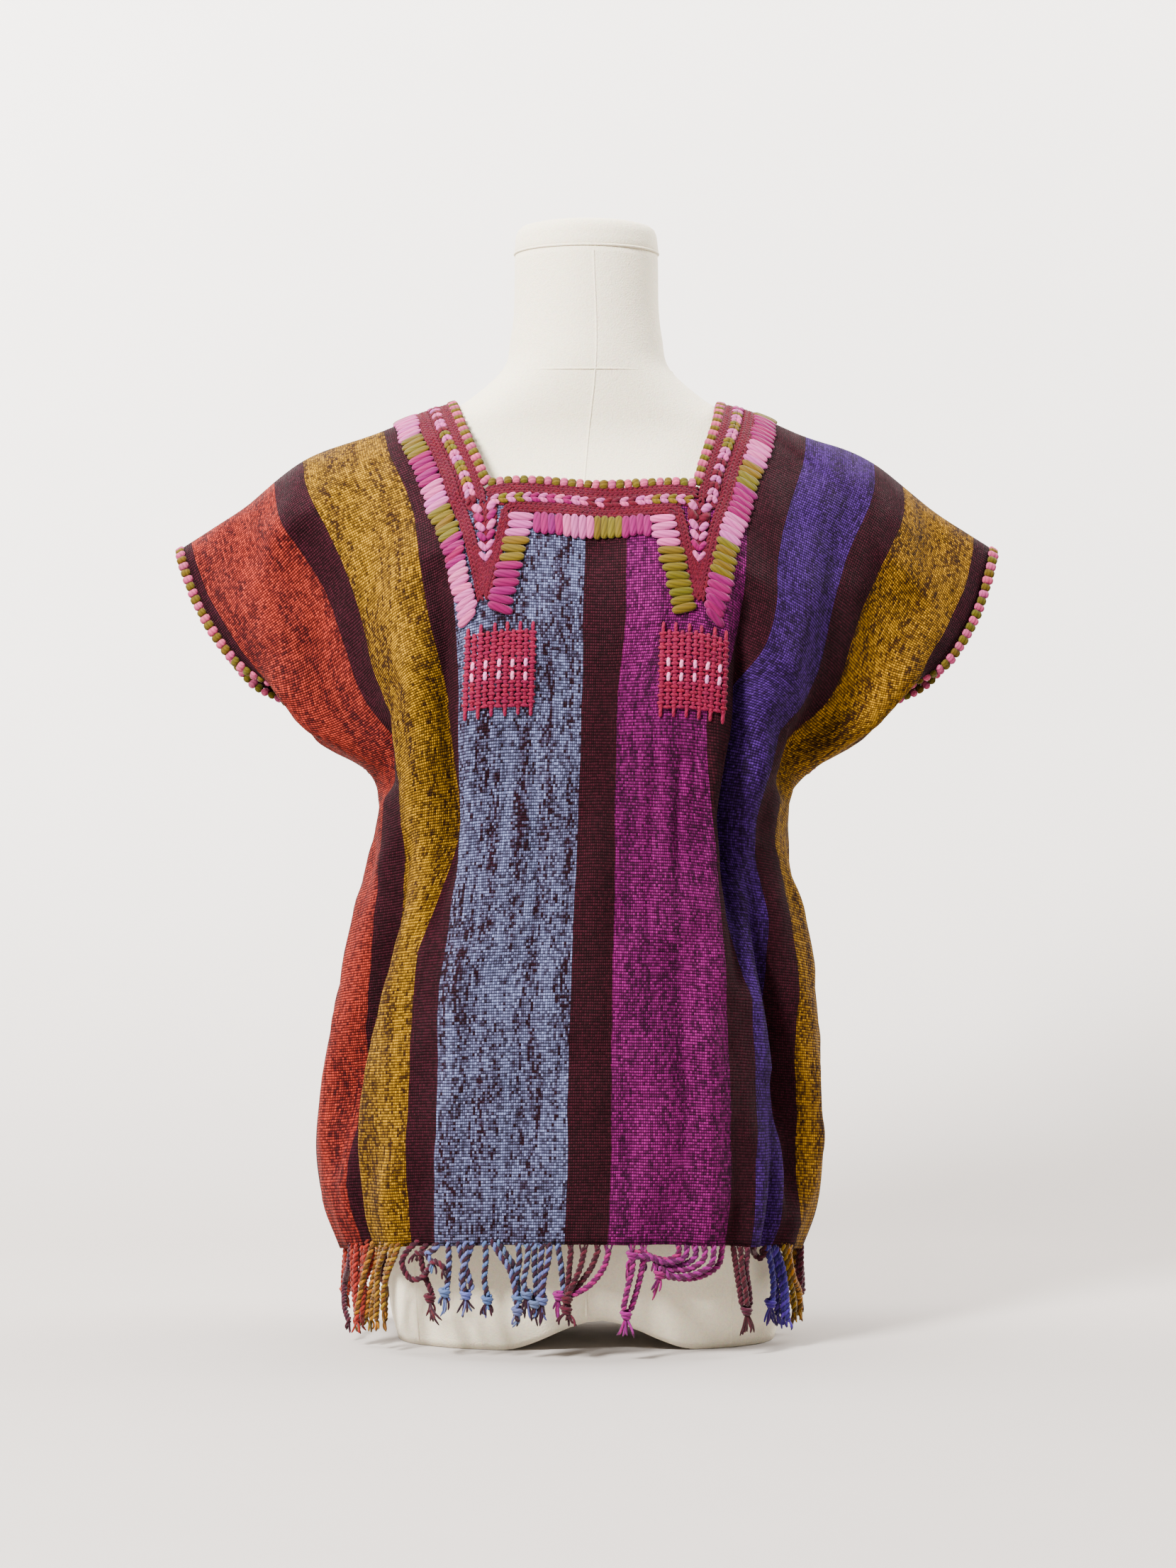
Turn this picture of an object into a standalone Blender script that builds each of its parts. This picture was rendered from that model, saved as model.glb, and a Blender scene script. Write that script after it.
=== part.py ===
"""Huipil blouse on a limbless dress form: one striped web folded over the shoulders, an embroidered
square neckline with two pointed corners, two darned gathering patches and a twisted fringe.

Metres, +Z up. X runs across the blouse, the front faces -Y, and the form stands on z = 0.
Tables are in millimetres, and MM turns them into metres. A place on the web is given by its distance
down from the shoulder line and its distance across from the middle stripe, left of it below 0."""

from collections import namedtuple
from math import cos, pi, sin

import bmesh
import bpy
import numpy as np
from mathutils import Vector

MM = 0.001

# The cut of the cloth, and the gaps that pieces keep from each other.
WEB_HALF = 287.5
WEB_LENGTH = 618.0
CLOTH_WALL = 1.5
SEAM_GAP = 0.3
TRIM_GAP = 0.6
TRIM_LIFT = 0.95
EASE = 1.3

# The neck opening in the flat web, each side of the middle stripe, and how deep it goes.
NECK_LEFT = 81.0
NECK_RIGHT = 65.0
NECK_DEPTH_FRONT = 115.0
NECK_DEPTH_BACK = 48.0
UNDERARM = 275.0

# The stitched bands, the satin borders, the pointed corners and the darned patches.
BAND_WIDTH = 23.0
BAND_WALL = 1.8
SATIN_WIDTH = 15.0
SATIN_WALL = 2.4
POINT_TIP = 201.0
POINT_HALF_TIP = 3.0
PATCH_TOP = 216.0
PATCH_BOTTOM = 270.0
PATCH_WIDTH = 48.0
PATCH_LEFT = -69.0
PATCH_RIGHT = 63.0

# The worked edges and the fringe.
CORD_RADIUS = 2.6
CORD_CORNER = 4.0
CORD_LIFT = 2.1
CORD_EASE = 4.8
SLEEVE_CORD_END = 256.0
FRINGE_LENGTH = 56.0
FRINGE_WALL = 3.0

# The dress form: its neck's end, the cover over it, and the arch between the thighs.
NECK_TOP = 742.0
CAP_TOP = 763.6
ARCH_RADIUS = 92.0
ARCH_HEIGHT = 20.0
ARCH_X = 9.0

# A horizontal slice of the form: half width, reach to the front and to the back, and squareness.
Slice = namedtuple("Slice", "z half_width front back square")
FORM_SLICES = [
    Slice(0, 129, 72, 74, 2.5),
    Slice(14, 133, 77, 80, 2.5),
    Slice(60, 137, 82, 90, 2.4),
    Slice(150, 143, 92, 107, 2.3),
    Slice(220, 140, 95, 112, 2.2),
    Slice(300, 126, 89, 94, 2.1),
    Slice(385, 111, 82, 75, 2.1),
    Slice(440, 121, 95, 79, 2.2),
    Slice(495, 146, 113, 88, 2.3),
    Slice(530, 166, 104, 90, 2.2),
    Slice(560, 180, 86, 86, 2.1),
    Slice(580, 187, 70, 75, 2.0),
    Slice(596, 184, 58, 62, 1.9),
    Slice(609, 160, 51, 54, 1.9),
    Slice(620, 131, 49, 50, 1.9),
    Slice(634, 94, 51, 49, 2.0),
    Slice(648, 73, 53, 50, 2.0),
    Slice(662, 58, 54, 50, 2.0),
    Slice(685, 52, 52, 50, 2.0),
    Slice(742, 49, 50, 49, 2.0),
]
FORM_SEGMENTS = 36
FORM_STEP = 24.0
FORM_SHOULDER_RINGS = (588.0, 594.0, 606.0, 612.0, 618.0, 629.0, 634.0, 641.0, 655.0, 662.0, 684.0)

# Places on the web above the underarm. middle is where the middle stripe passes. The other columns are
# lengthwise lines named for where they pass, at COLUMNS_LEFT and COLUMNS_RIGHT across the flat web.
# Each holds (out to the side, forward or back, up), and lean moves a whole row to the right.
Level = namedtuple("Level", "down lean middle neck bust shoulder sleeve selvedge")
FRONT_ROWS = [
    (0, 0.0, (8, 0, 641), (95, 0, 636), (146, 0, 617), (196, 0, 598), (236, 0, 566), (276, 0, 540)),
    (12, 0.3, (8, 12, 640), (94, 12, 635), (145, 12, 616), (196, 11, 595), (236, 10, 562), (275, 9, 536)),
    (48, 1.5, (10, 46, 625), (89, 44, 620), (141, 43, 600), (198, 37, 574), (235, 27, 536), (266, 22, 508)),
    (115, 3.7, (12, 87, 573), (72, 89, 573), (118, 84, 553), (180, 62, 520), (219, 52, 484), (241, 36, 466)),
    (200, 3.5, (11, 121, 494), (70, 123, 494), (106, 117, 480), (152, 86, 446), (190, 66, 420),
     (203, 36, 437)),
    (275, 1.0, (9, 125, 420), (70, 126, 420), (105, 117, 411), (130, 84, 392), (141, 46, 380), (138, 0, 374)),
]
BACK_ROWS = [
    (0, 0.0, (9, 38, 645), (95, 0, 636), (146, 0, 617), (196, 0, 598), (236, 0, 566), (276, 0, 540)),
    (12, 0.3, (9, 44, 638), (94, 12, 635), (145, 12, 616), (196, 11, 595), (236, 10, 562), (275, 9, 536)),
    (48, 1.5, (9, 60, 615), (93, 44, 622), (144, 42, 602), (199, 36, 576), (236, 27, 536), (267, 22, 507)),
    (115, 2.5, (9, 88, 574), (86, 87, 568), (130, 83, 551), (182, 66, 517), (219, 54, 478), (239, 38, 458)),
    (200, 2.5, (8, 102, 492), (80, 100, 490), (118, 92, 477), (156, 76, 440), (188, 58, 410), (200, 34, 428)),
    (275, 1.0, (8, 106, 420), (80, 103, 418), (112, 95, 409), (133, 72, 388), (141, 42, 377), (138, 0, 374)),
]
UPPER_FRONT = [Level(*row) for row in FRONT_ROWS]
UPPER_BACK = [Level(*row) for row in BACK_ROWS]
COLUMNS_LEFT = (0, NECK_LEFT, 128, 190, 240, WEB_HALF)
COLUMNS_RIGHT = (0, NECK_RIGHT, 120, 184, 236, WEB_HALF)

# A ring of the web below the underarm. middle_x is where the middle stripe passes, and middle and side
# are its heights at the front and at the seams. flat is how much of its width the middle panel keeps.
Ring = namedtuple("Ring", "down middle_x middle side left right front back square flat")
BODY_RINGS = [
    Ring(335, 7, 360, 324, 148, 137, 126, 114, 2.35, 0.92),
    Ring(395, 5, 300, 270, 160, 151, 126, 119, 2.35, 0.93),
    Ring(455, 3, 240, 216, 173, 158, 125, 124, 2.30, 0.94),
    Ring(515, 1, 180, 163, 182, 160, 124, 128, 2.30, 0.95),
    Ring(560, 1, 135, 120, 184, 161, 123, 128, 2.30, 0.95),
    Ring(595, 0, 100, 84, 177, 156, 121, 126, 2.30, 0.95),
    Ring(WEB_LENGTH, -1, 77, 60, 167, 147, 118, 123, 2.30, 0.95),
]

# A fold: the line of the web that it follows from its top to its end, where it starts and ends down
# the web, how deep it goes in (below 0 it stands out), and its half width.
Fold = namedtuple("Fold", "name across_top across_end down_top down_end depth half_width")
FRONT_FOLDS = [
    Fold("left_pocket", -196, -214, 70, 300, 24, 24),
    Fold("left_wall", -117, -122, 150, 420, 24, 15),
    Fold("left_side_trough", -166, -228, 330, 575, 24, 19),
    Fold("left_gather", -196, -204, 470, 690, 14, 12),
    Fold("left_panel_edge", -92, -98, 230, 690, -5, 14),
    Fold("right_pocket", 214, 206, 90, 300, 22, 24),
    Fold("right_wall", 112, 124, 165, 450, 26, 16),
    Fold("right_side_trough", 146, 206, 340, 600, 26, 20),
    Fold("right_gather", 160, 172, 500, 690, 12, 12),
    Fold("right_panel_edge", 86, 93, 230, 690, -5, 14),
]
BACK_FOLDS = [
    Fold("left_pocket", -200, -214, 80, 300, 22, 26),
    Fold("right_pocket", 206, 212, 80, 300, 22, 26),
    Fold("left_blade", -126, -168, 180, 600, 20, 20),
    Fold("right_blade", 122, 160, 190, 620, 20, 21),
    Fold("spine", -20, -34, 250, 690, 9, 30),
    Fold("left_hem", -214, -206, 420, 690, 16, 14),
    Fold("right_hem", 206, 214, 440, 690, 14, 13),
]
FOLD_SHARPNESS = 0.7
SEAM_CALM = 14.0

# How finely the web and its trims are faceted: points in a row, the steps down and across the web, the
# least distance between two stations of a trim, and the steps along the worked edges.
ROW_POINTS = 116
DOWN_STEP_CHEST = 24.0
DOWN_STEP_SKIRT = 28.0
DOWN_STEP_NECK = 21.0
SHOULDER_ROW = 12.0
ACROSS_STEP = 15.5
NECK_ACROSS_STEP = 21.0
STATION_MARGIN = 3.0
NECK_BAR_EDGE_STEP = 13.0
NECK_SIDE_EDGE_STEP = 12.0
SLEEVE_EDGE_STEP = 14.0
INTO_CLOTH = 4.0
TRIM_COLUMNS = 3
WIDE_TRIM_COLUMNS = 5
SATIN_BAR_COLUMNS = 6
BAR_COLUMNS = 7
BACK_BAR_COLUMNS = 8
BACK_SATIN_COLUMNS = 10

# How the cloth is moved clear of the form: the probe that finds the way out, and how often it is tried.
CLEARING_PROBE = 0.2
CLEARING_TRIES = 12

# A panel is half of the web as a grid of places on its inner face, with the way out at each.
Panel = namedtuple("Panel", "front downs across points normals")


def through(places, values, at):
    """A smooth curve through the values (rows) at the places, read at one or more places."""
    places = np.asarray(places, float)
    values = np.asarray(values, float)
    at = np.atleast_1d(np.asarray(at, float))
    steps = np.diff(places)[:, None]
    slopes = np.diff(values, axis=0) / steps
    inner = (slopes[1:] * steps[:-1] + slopes[:-1] * steps[1:]) / (steps[1:] + steps[:-1])
    tangents = np.concatenate([slopes[:1], inner, slopes[-1:]])
    i = np.clip(np.searchsorted(places, at, side="right") - 1, 0, len(places) - 2)
    width = (places[i + 1] - places[i])[:, None]
    t = (at - places[i])[:, None] / width
    return (
        values[i] * (1 + 2 * t) * (1 - t) ** 2
        + tangents[i] * width * t * (1 - t) ** 2
        + values[i + 1] * t**2 * (3 - 2 * t)
        + tangents[i + 1] * width * t**2 * (t - 1)
    )


def form_slice(z):
    """Half width, front, back and squareness of the form at heights z."""
    heights = [row.z for row in FORM_SLICES]
    rows = [(row.half_width, row.front, row.back, row.square) for row in FORM_SLICES]
    return through(heights, rows, np.clip(z, heights[0], heights[-1]))


def beyond_form(points, ease):
    """How far outside the form each point is: above 0 is outside, and 0 is ease clear of its skin."""
    half, front, back, square = form_slice(points[:, 2]).T
    reach = np.where(points[:, 1] < 0, front, back) + ease
    return (np.abs(points[:, 0]) / (half + ease)) ** square + (np.abs(points[:, 1]) / reach) ** square - 1


def clear_of_form(points, ease):
    """Points nearer to the form than ease are moved out along its steepest way out."""
    points = points.copy()
    for _ in range(CLEARING_TRIES):
        value = beyond_form(points, ease)
        probed = [beyond_form(points + CLEARING_PROBE * way, ease) for way in np.eye(3)]
        slope = np.stack([(further - value) / CLEARING_PROBE for further in probed], axis=1)
        inside = value < 0
        step = -value / np.maximum((slope**2).sum(1), 1e-9)
        points[inside] += (slope * step[:, None])[inside]
    return points


def superellipse(share, half_width, depth, square):
    """A quarter ring from the middle of the front (share 0) to the side (share 1)."""
    angle = np.asarray(share) * pi / 2
    return half_width * np.sin(angle) ** (2 / square), depth * np.cos(angle) ** (2 / square)


def lengths_along(path):
    return np.concatenate([[0], np.cumsum(np.linalg.norm(np.diff(path, axis=0), axis=1))])


def read_at(path, along, wanted):
    return np.stack([np.interp(wanted, along, path[:, k]) for k in range(3)], axis=1)


def columns_of(side):
    return COLUMNS_LEFT if side < 0 else COLUMNS_RIGHT


def ring_columns(ring, front, side):
    """Where the web's lengthwise columns pass a ring, from the middle stripe to the side seam."""
    share = np.linspace(0, 1, 60)
    halves = []
    for half_side, half_width in ((-1, ring.left), (1, ring.right)):
        x, y = superellipse(share, half_width, ring.front if front else ring.back, ring.square)
        z = ring.side + (ring.middle - ring.side) * np.cos(share * pi / 2)
        halves.append(np.stack([half_side * x, (-y if front else y), z], axis=1))
    whole = np.concatenate([halves[0][:0:-1], halves[1]])
    along = lengths_along(whole)
    start = np.interp(ring.middle_x, whole[:, 0], along)
    end = along[-1] if side > 0 else 0.0
    neck, half = columns_of(side)[1], WEB_HALF
    neck_share = ring.flat * neck / abs(end - start)
    shares = np.interp(columns_of(side), (0, neck, half), (0, neck_share, 1))
    return read_at(whole, along, start + (end - start) * shares)


def column_places(front, side):
    """Distances down the web, and for each the places of its lengthwise columns on one side."""
    forward = -1 if front else 1
    downs, rows = [], []
    for level in UPPER_FRONT if front else UPPER_BACK:
        x, y, z = level.middle
        row = [(x, forward * y, z)]
        row += [(side * x + level.lean, forward * y, z) for x, y, z in level[3:]]
        downs.append(level.down)
        rows.append(row)
    for ring in BODY_RINGS:
        downs.append(ring.down)
        rows.append(ring_columns(ring, front, side))
    return np.array(downs, float), np.array(rows, float).reshape(len(downs), -1)


def fold_depth(folds, across, down):
    """How far the folds carry the web inwards at places across it, at one distance down it."""
    total = np.zeros_like(across)
    for fold in folds:
        share = (down - fold.down_top) / (fold.down_end - fold.down_top)
        if 0 < share < 1:
            centre = fold.across_top + (fold.across_end - fold.across_top) * share
            reach = np.exp(-(((across - centre) / fold.half_width) ** 2))
            total += fold.depth * sin(pi * share) ** FOLD_SHARPNESS * reach
    return total * (1 - np.exp(-(((WEB_HALF - np.abs(across)) / SEAM_CALM) ** 2)))


def half_row(front, side, down, across, downs, rows):
    """Points of the web's inner face on one side of its middle, at one distance down it."""
    columns = columns_of(side)
    row = through(downs, rows, down).reshape(len(columns), 3)
    fine = np.linspace(0, WEB_HALF, ROW_POINTS)
    path = through(columns, row, fine)
    run = np.gradient(path, axis=0)
    outward = np.stack([run[:, 1], -run[:, 0]], axis=1) * (side if front else -side)
    outward /= np.maximum(np.linalg.norm(outward, axis=1), 1e-9)[:, None]
    folds = FRONT_FOLDS if front else BACK_FOLDS
    path[:, :2] -= outward * fold_depth(folds, side * fine, down)[:, None]
    along = lengths_along(path)
    neck_along = np.interp(columns[1], fine, along)
    wanted = np.interp(np.abs(across), (0, columns[1], WEB_HALF), (0, neck_along, along[-1]))
    return read_at(path, along, wanted)


def web_grid(front, downs, across):
    """The web's inner face as a grid of points, resting on the form: (down, across, 3)."""
    across = np.asarray(across, float)
    halves = []
    for side, places in ((-1, across[across < 0]), (1, across[across >= 0])):
        table = column_places(front, side)
        halves.append(np.array([half_row(front, side, down, places, *table) for down in downs]))
    grid = np.concatenate(halves, axis=1)
    shape = grid.shape
    grid = clear_of_form(grid.reshape(-1, 3), EASE)
    grid[:, 1] = np.minimum(grid[:, 1], -SEAM_GAP) if front else np.maximum(grid[:, 1], SEAM_GAP)
    return grid.reshape(shape)


def neck_hole(front, downs, across):
    """The rows and the columns of faces that the neck opening leaves out of a grid."""
    depth = NECK_DEPTH_FRONT if front else NECK_DEPTH_BACK
    return slice(0, downs.index(depth)), slice(across.index(-NECK_LEFT), across.index(NECK_RIGHT))


def normals_of(front, grid, hole):
    """The way out at each point of a grid: the mean over the faces round it, but for those in the hole."""
    face = np.cross(grid[1:, 1:] - grid[:-1, :-1], grid[:-1, 1:] - grid[1:, :-1]) * (1 if front else -1)
    face /= np.maximum(np.linalg.norm(face, axis=2), 1e-9)[:, :, None]
    face[hole] = 0
    rows, columns = face.shape[:2]
    normal = np.zeros_like(grid)
    for i in (0, 1):
        for j in (0, 1):
            normal[i : rows + i, j : columns + j] += face
    return normal / np.maximum(np.linalg.norm(normal, axis=2), 1e-9)[:, :, None]


def marks(start, *stretches):
    """Places from a start through stretches of (end, rough step)."""
    places = [float(start)]
    for end, step in stretches:
        count = max(1, round(abs(end - places[-1]) / step))
        places += [float(place) for place in np.linspace(places[-1], end, count + 1)[1:]]
    return places


def stations(panel, top, bottom):
    """The panel's own rows between two distances down it, with both ends."""
    inner = [down for down in panel.downs if top + STATION_MARGIN < down < bottom - STATION_MARGIN]
    return [top, *inner, bottom]


def on_panel(panel, down, across, lift):
    """A place on the panel's own facets, moved out."""
    i = int(np.clip(np.searchsorted(panel.downs, down, side="right") - 1, 0, len(panel.downs) - 2))
    j = int(np.clip(np.searchsorted(panel.across, across, side="right") - 1, 0, len(panel.across) - 2))
    s = (down - panel.downs[i]) / (panel.downs[i + 1] - panel.downs[i])
    t = (across - panel.across[j]) / (panel.across[j + 1] - panel.across[j])
    corners = panel.points[i : i + 2, j : j + 2] + panel.normals[i : i + 2, j : j + 2] * lift
    upper, lower = corners[:, 0] * (1 - t) + corners[:, 1] * t
    return upper * (1 - s) + lower * s


def make_panel(front):
    """The grid of the front or the back, with lines along the edges of its bands and satin borders."""
    depth = NECK_DEPTH_FRONT if front else NECK_DEPTH_BACK
    band = BAND_WIDTH
    satin = BAND_WIDTH + TRIM_GAP + SATIN_WIDTH
    across = marks(
        -WEB_HALF,
        (-NECK_LEFT - satin, ACROSS_STEP),
        (-NECK_LEFT - band, SATIN_WIDTH),
        (-NECK_LEFT, BAND_WIDTH),
        (NECK_RIGHT, NECK_ACROSS_STEP),
        (NECK_RIGHT + band, BAND_WIDTH),
        (NECK_RIGHT + satin, SATIN_WIDTH),
        (WEB_HALF, ACROSS_STEP),
    )
    downs = marks(
        0,
        (SHOULDER_ROW, SHOULDER_ROW),
        (depth, DOWN_STEP_NECK),
        (depth + band, BAND_WIDTH),
        (depth + satin, SATIN_WIDTH),
        (UNDERARM, DOWN_STEP_CHEST),
        (WEB_LENGTH, DOWN_STEP_SKIRT),
    )
    points = web_grid(front, downs, across)
    return Panel(front, downs, across, points, normals_of(front, points, neck_hole(front, downs, across)))


def collection_named(name):
    collection = bpy.data.collections.new(name)
    bpy.context.scene.collection.children.link(collection)
    return collection


def finish_named(name, colour, roughness=0.85):
    """A matt cloth or yarn finish."""
    material = bpy.data.materials.new(name)
    material.use_nodes = True
    shader = material.node_tree.nodes["Principled BSDF"]
    shader.inputs["Base Color"].default_value = (*colour, 1)
    shader.inputs["Roughness"].default_value = roughness
    shader.inputs["Metallic"].default_value = 0.0
    return material


def place(name, data, material):
    """An object of the part. data is in metres."""
    obj = bpy.data.objects.new(name, data)
    obj.data.materials.append(material)
    PARTS.objects.link(obj)
    return obj


def mesh_named(name, mesh):
    data = bpy.data.meshes.new(name)
    mesh.to_mesh(data)
    mesh.free()
    return data


def shell(name, grid, wall, material, turned=False, hole=None, offset=1.0):
    """A sheet through a grid in millimetres, given its wall outwards. turned is for a grid whose rows
    run down the back, and hole is the rows and columns of faces that are left open."""
    rows, columns = grid.shape[:2]
    solid = np.ones((rows - 1, columns - 1), bool)
    if hole:
        solid[hole] = False
    mesh = bmesh.new()
    corners = {}
    for i in range(rows - 1):
        for j in range(columns - 1):
            if not solid[i, j]:
                continue
            keys = [(i, j), (i + 1, j), (i + 1, j + 1), (i, j + 1)]
            for key in keys:
                if key not in corners:
                    corners[key] = mesh.verts.new(Vector(grid[key]) * MM)
            if turned:
                keys.reverse()
            mesh.faces.new([corners[key] for key in keys]).smooth = True
    obj = place(name, mesh_named(name, mesh), material)
    solidify = obj.modifiers.new("wall", "SOLIDIFY")
    solidify.thickness = wall * MM
    solidify.offset = offset


def make_web(name, panel):
    """The front or back of the web, from the shoulder line to the hem, with its share of the neck opening."""
    hole = neck_hole(panel.front, panel.downs, panel.across)
    shell(name, panel.points, CLOTH_WALL, WEB_CLOTH, not panel.front, hole)


def make_trim(name, rows, wall, material, turned=False, columns=TRIM_COLUMNS):
    """A trim that lies on the web. A row is (panel, down, left place, right place)."""
    lift = CLOTH_WALL + TRIM_LIFT
    grid = []
    for panel, down, left, right in rows:
        grid.append([on_panel(panel, down, across, lift) for across in np.linspace(left, right, columns)])
    shell(name, np.array(grid), wall, material, turned)


def over_shoulder(front_end, back_end):
    """Stations of a trim that comes up the back, passes over the shoulder line and goes down the front."""
    up_the_back = [(BACK, down) for down in reversed(stations(BACK, 0, back_end)) if down > 0]
    return up_the_back + [(FRONT, down) for down in stations(FRONT, 0, front_end)]


def point_half(down):
    """Half the width of a pointed corner, which narrows from the band's width to its tip."""
    top = NECK_DEPTH_FRONT + TRIM_GAP
    share = np.clip((down - top) / (POINT_TIP - top), 0, 1)
    return BAND_WIDTH + (POINT_HALF_TIP - BAND_WIDTH) * share


def ordered(side, inner, outer):
    """Left and right places of a strip that starts and ends this far out from the middle stripe."""
    return (inner, outer) if side > 0 else (-outer, -inner)


def make_side_trims(side, word, neck, patch):
    """One side's band, pointed corner, satin borders and patch. neck is the neck opening's reach."""
    bar_bottom = NECK_DEPTH_FRONT + BAND_WIDTH
    satin_end = POINT_TIP + SATIN_WIDTH / 2

    rows = []
    for panel, down in over_shoulder(NECK_DEPTH_FRONT, NECK_DEPTH_BACK + BAND_WIDTH):
        rows.append((panel, down, *ordered(side, neck + TRIM_GAP, neck + BAND_WIDTH)))
    make_trim(f"band_side_{word}", rows, BAND_WALL, ROSE)

    rows = []
    for down in stations(FRONT, NECK_DEPTH_FRONT + TRIM_GAP, POINT_TIP):
        rows.append((FRONT, down, *ordered(side, neck - point_half(down), neck + point_half(down))))
    make_trim(f"point_{word}", rows, BAND_WALL, ROSE, columns=WIDE_TRIM_COLUMNS)

    rows = []
    for panel, down in over_shoulder(satin_end, NECK_DEPTH_BACK + BAND_WIDTH):
        half = point_half(down) if panel.front else BAND_WIDTH
        inner = neck + half + TRIM_GAP
        rows.append((panel, down, *ordered(side, inner, inner + SATIN_WIDTH)))
    make_trim(f"satin_side_{word}", rows, SATIN_WALL, SATIN)

    rows = []
    for down in stations(FRONT, bar_bottom + TRIM_GAP, satin_end):
        outer = neck - point_half(down) - TRIM_GAP
        rows.append((FRONT, down, *ordered(side, outer - SATIN_WIDTH, outer)))
    make_trim(f"satin_point_{word}", rows, SATIN_WALL, SATIN)

    rows = []
    for down in stations(FRONT, PATCH_TOP, PATCH_BOTTOM):
        rows.append((FRONT, down, patch - PATCH_WIDTH / 2, patch + PATCH_WIDTH / 2))
    make_trim(f"patch_{word}", rows, BAND_WALL, ROSE, columns=WIDE_TRIM_COLUMNS)


def make_bars():
    """The band and the satin border below the neck opening, at the front and at the back."""
    bar_top = NECK_DEPTH_FRONT + TRIM_GAP
    bar_bottom = NECK_DEPTH_FRONT + BAND_WIDTH
    rows = []
    for down in (bar_top, bar_bottom):
        inset = point_half(down) + TRIM_GAP
        rows.append((FRONT, down, inset - NECK_LEFT, NECK_RIGHT - inset))
    make_trim("band_bar_front", rows, BAND_WALL, ROSE, columns=BAR_COLUMNS)

    satin_top = bar_bottom + TRIM_GAP
    rows = []
    for down in (satin_top, satin_top + SATIN_WIDTH):
        inset = point_half(down) + SATIN_WIDTH + 2 * TRIM_GAP
        rows.append((FRONT, down, inset - NECK_LEFT, NECK_RIGHT - inset))
    make_trim("satin_bar_front", rows, SATIN_WALL, SATIN, columns=SATIN_BAR_COLUMNS)

    bar_top = NECK_DEPTH_BACK + TRIM_GAP
    bar_bottom = NECK_DEPTH_BACK + BAND_WIDTH
    rows = [(BACK, down, -NECK_LEFT, NECK_RIGHT) for down in (bar_top, bar_bottom)]
    make_trim("band_bar_back", rows, BAND_WALL, ROSE, turned=True, columns=BACK_BAR_COLUMNS)

    satin_top = bar_bottom + TRIM_GAP
    ends = (-NECK_LEFT - BAND_WIDTH, NECK_RIGHT + BAND_WIDTH)
    rows = [(BACK, down, *ends) for down in (satin_top, satin_top + SATIN_WIDTH)]
    make_trim("satin_bar_back", rows, SATIN_WALL, SATIN, turned=True, columns=BACK_SATIN_COLUMNS)


def make_cord(name, points, closed):
    """A worked edge as a round cord through points in millimetres, moved clear of the form."""
    points = clear_of_form(np.array(points), CORD_EASE)
    curve = bpy.data.curves.new(name, "CURVE")
    curve.dimensions = "3D"
    curve.bevel_depth = CORD_RADIUS * MM
    curve.bevel_resolution = 2
    curve.use_fill_caps = not closed
    spline = curve.splines.new("POLY")
    spline.points.add(len(points) - 1)
    for knot, point in zip(spline.points, points):
        knot.co = (*(Vector(point) * MM), 1)
    spline.use_cyclic_u = closed
    place(name, curve, EDGE_YARN)


def beyond_edge(panel, down, across, down_step, across_step):
    """A place for a cord just beyond a cut edge. The steps lead from the edge into the cloth."""
    edge = on_panel(panel, down, across, CORD_LIFT)
    inner = on_panel(panel, down + down_step, across + across_step, CORD_LIFT)
    return edge + (edge - inner) / np.linalg.norm(edge - inner) * (CORD_RADIUS + TRIM_GAP)


def make_neck_cord():
    """The edging worked round the neck opening, just inside the cut edge."""
    bar = marks(CORD_CORNER - NECK_LEFT, (NECK_RIGHT - CORD_CORNER, NECK_BAR_EDGE_STEP))
    front_downs = marks(NECK_DEPTH_FRONT - CORD_CORNER, (1, NECK_SIDE_EDGE_STEP))
    back_downs = marks(1, (NECK_DEPTH_BACK - CORD_CORNER, NECK_SIDE_EDGE_STEP))
    route = [(FRONT, NECK_DEPTH_FRONT, across, INTO_CLOTH, 0) for across in reversed(bar)]
    route += [(FRONT, down, -NECK_LEFT, 0, -INTO_CLOTH) for down in front_downs]
    route += [(BACK, down, -NECK_LEFT, 0, -INTO_CLOTH) for down in back_downs]
    route += [(BACK, NECK_DEPTH_BACK, across, INTO_CLOTH, 0) for across in bar]
    route += [(BACK, down, NECK_RIGHT, 0, INTO_CLOTH) for down in reversed(back_downs)]
    route += [(FRONT, down, NECK_RIGHT, 0, INTO_CLOTH) for down in reversed(front_downs)]
    make_cord("cord_neck", [beyond_edge(*spot) for spot in route], True)


def make_sleeve_cord(name, side):
    """The edging worked along a sleeve opening, from the underarm over the shoulder line and back down."""
    route = [(FRONT, down) for down in marks(SLEEVE_CORD_END, (2, SLEEVE_EDGE_STEP))]
    route += [(BACK, down) for down in marks(2, (SLEEVE_CORD_END, SLEEVE_EDGE_STEP))]
    points = [beyond_edge(panel, down, side * WEB_HALF, 0, -side * INTO_CLOTH) for panel, down in route]
    make_cord(name, points, False)


def make_fringe(name, panel):
    """The reach of the twisted warp ends below the hem, as a plain wall."""
    top = panel.points[-1] + panel.normals[-1] * CLOTH_WALL / 2
    top[:, 2] -= TRIM_GAP
    rows = [top - np.array((0, 0, FRINGE_LENGTH * share)) for share in (0, 0.5, 1)]
    shell(name, np.array(rows), FRINGE_WALL, FRINGE_YARN, not panel.front, offset=0.0)


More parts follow.
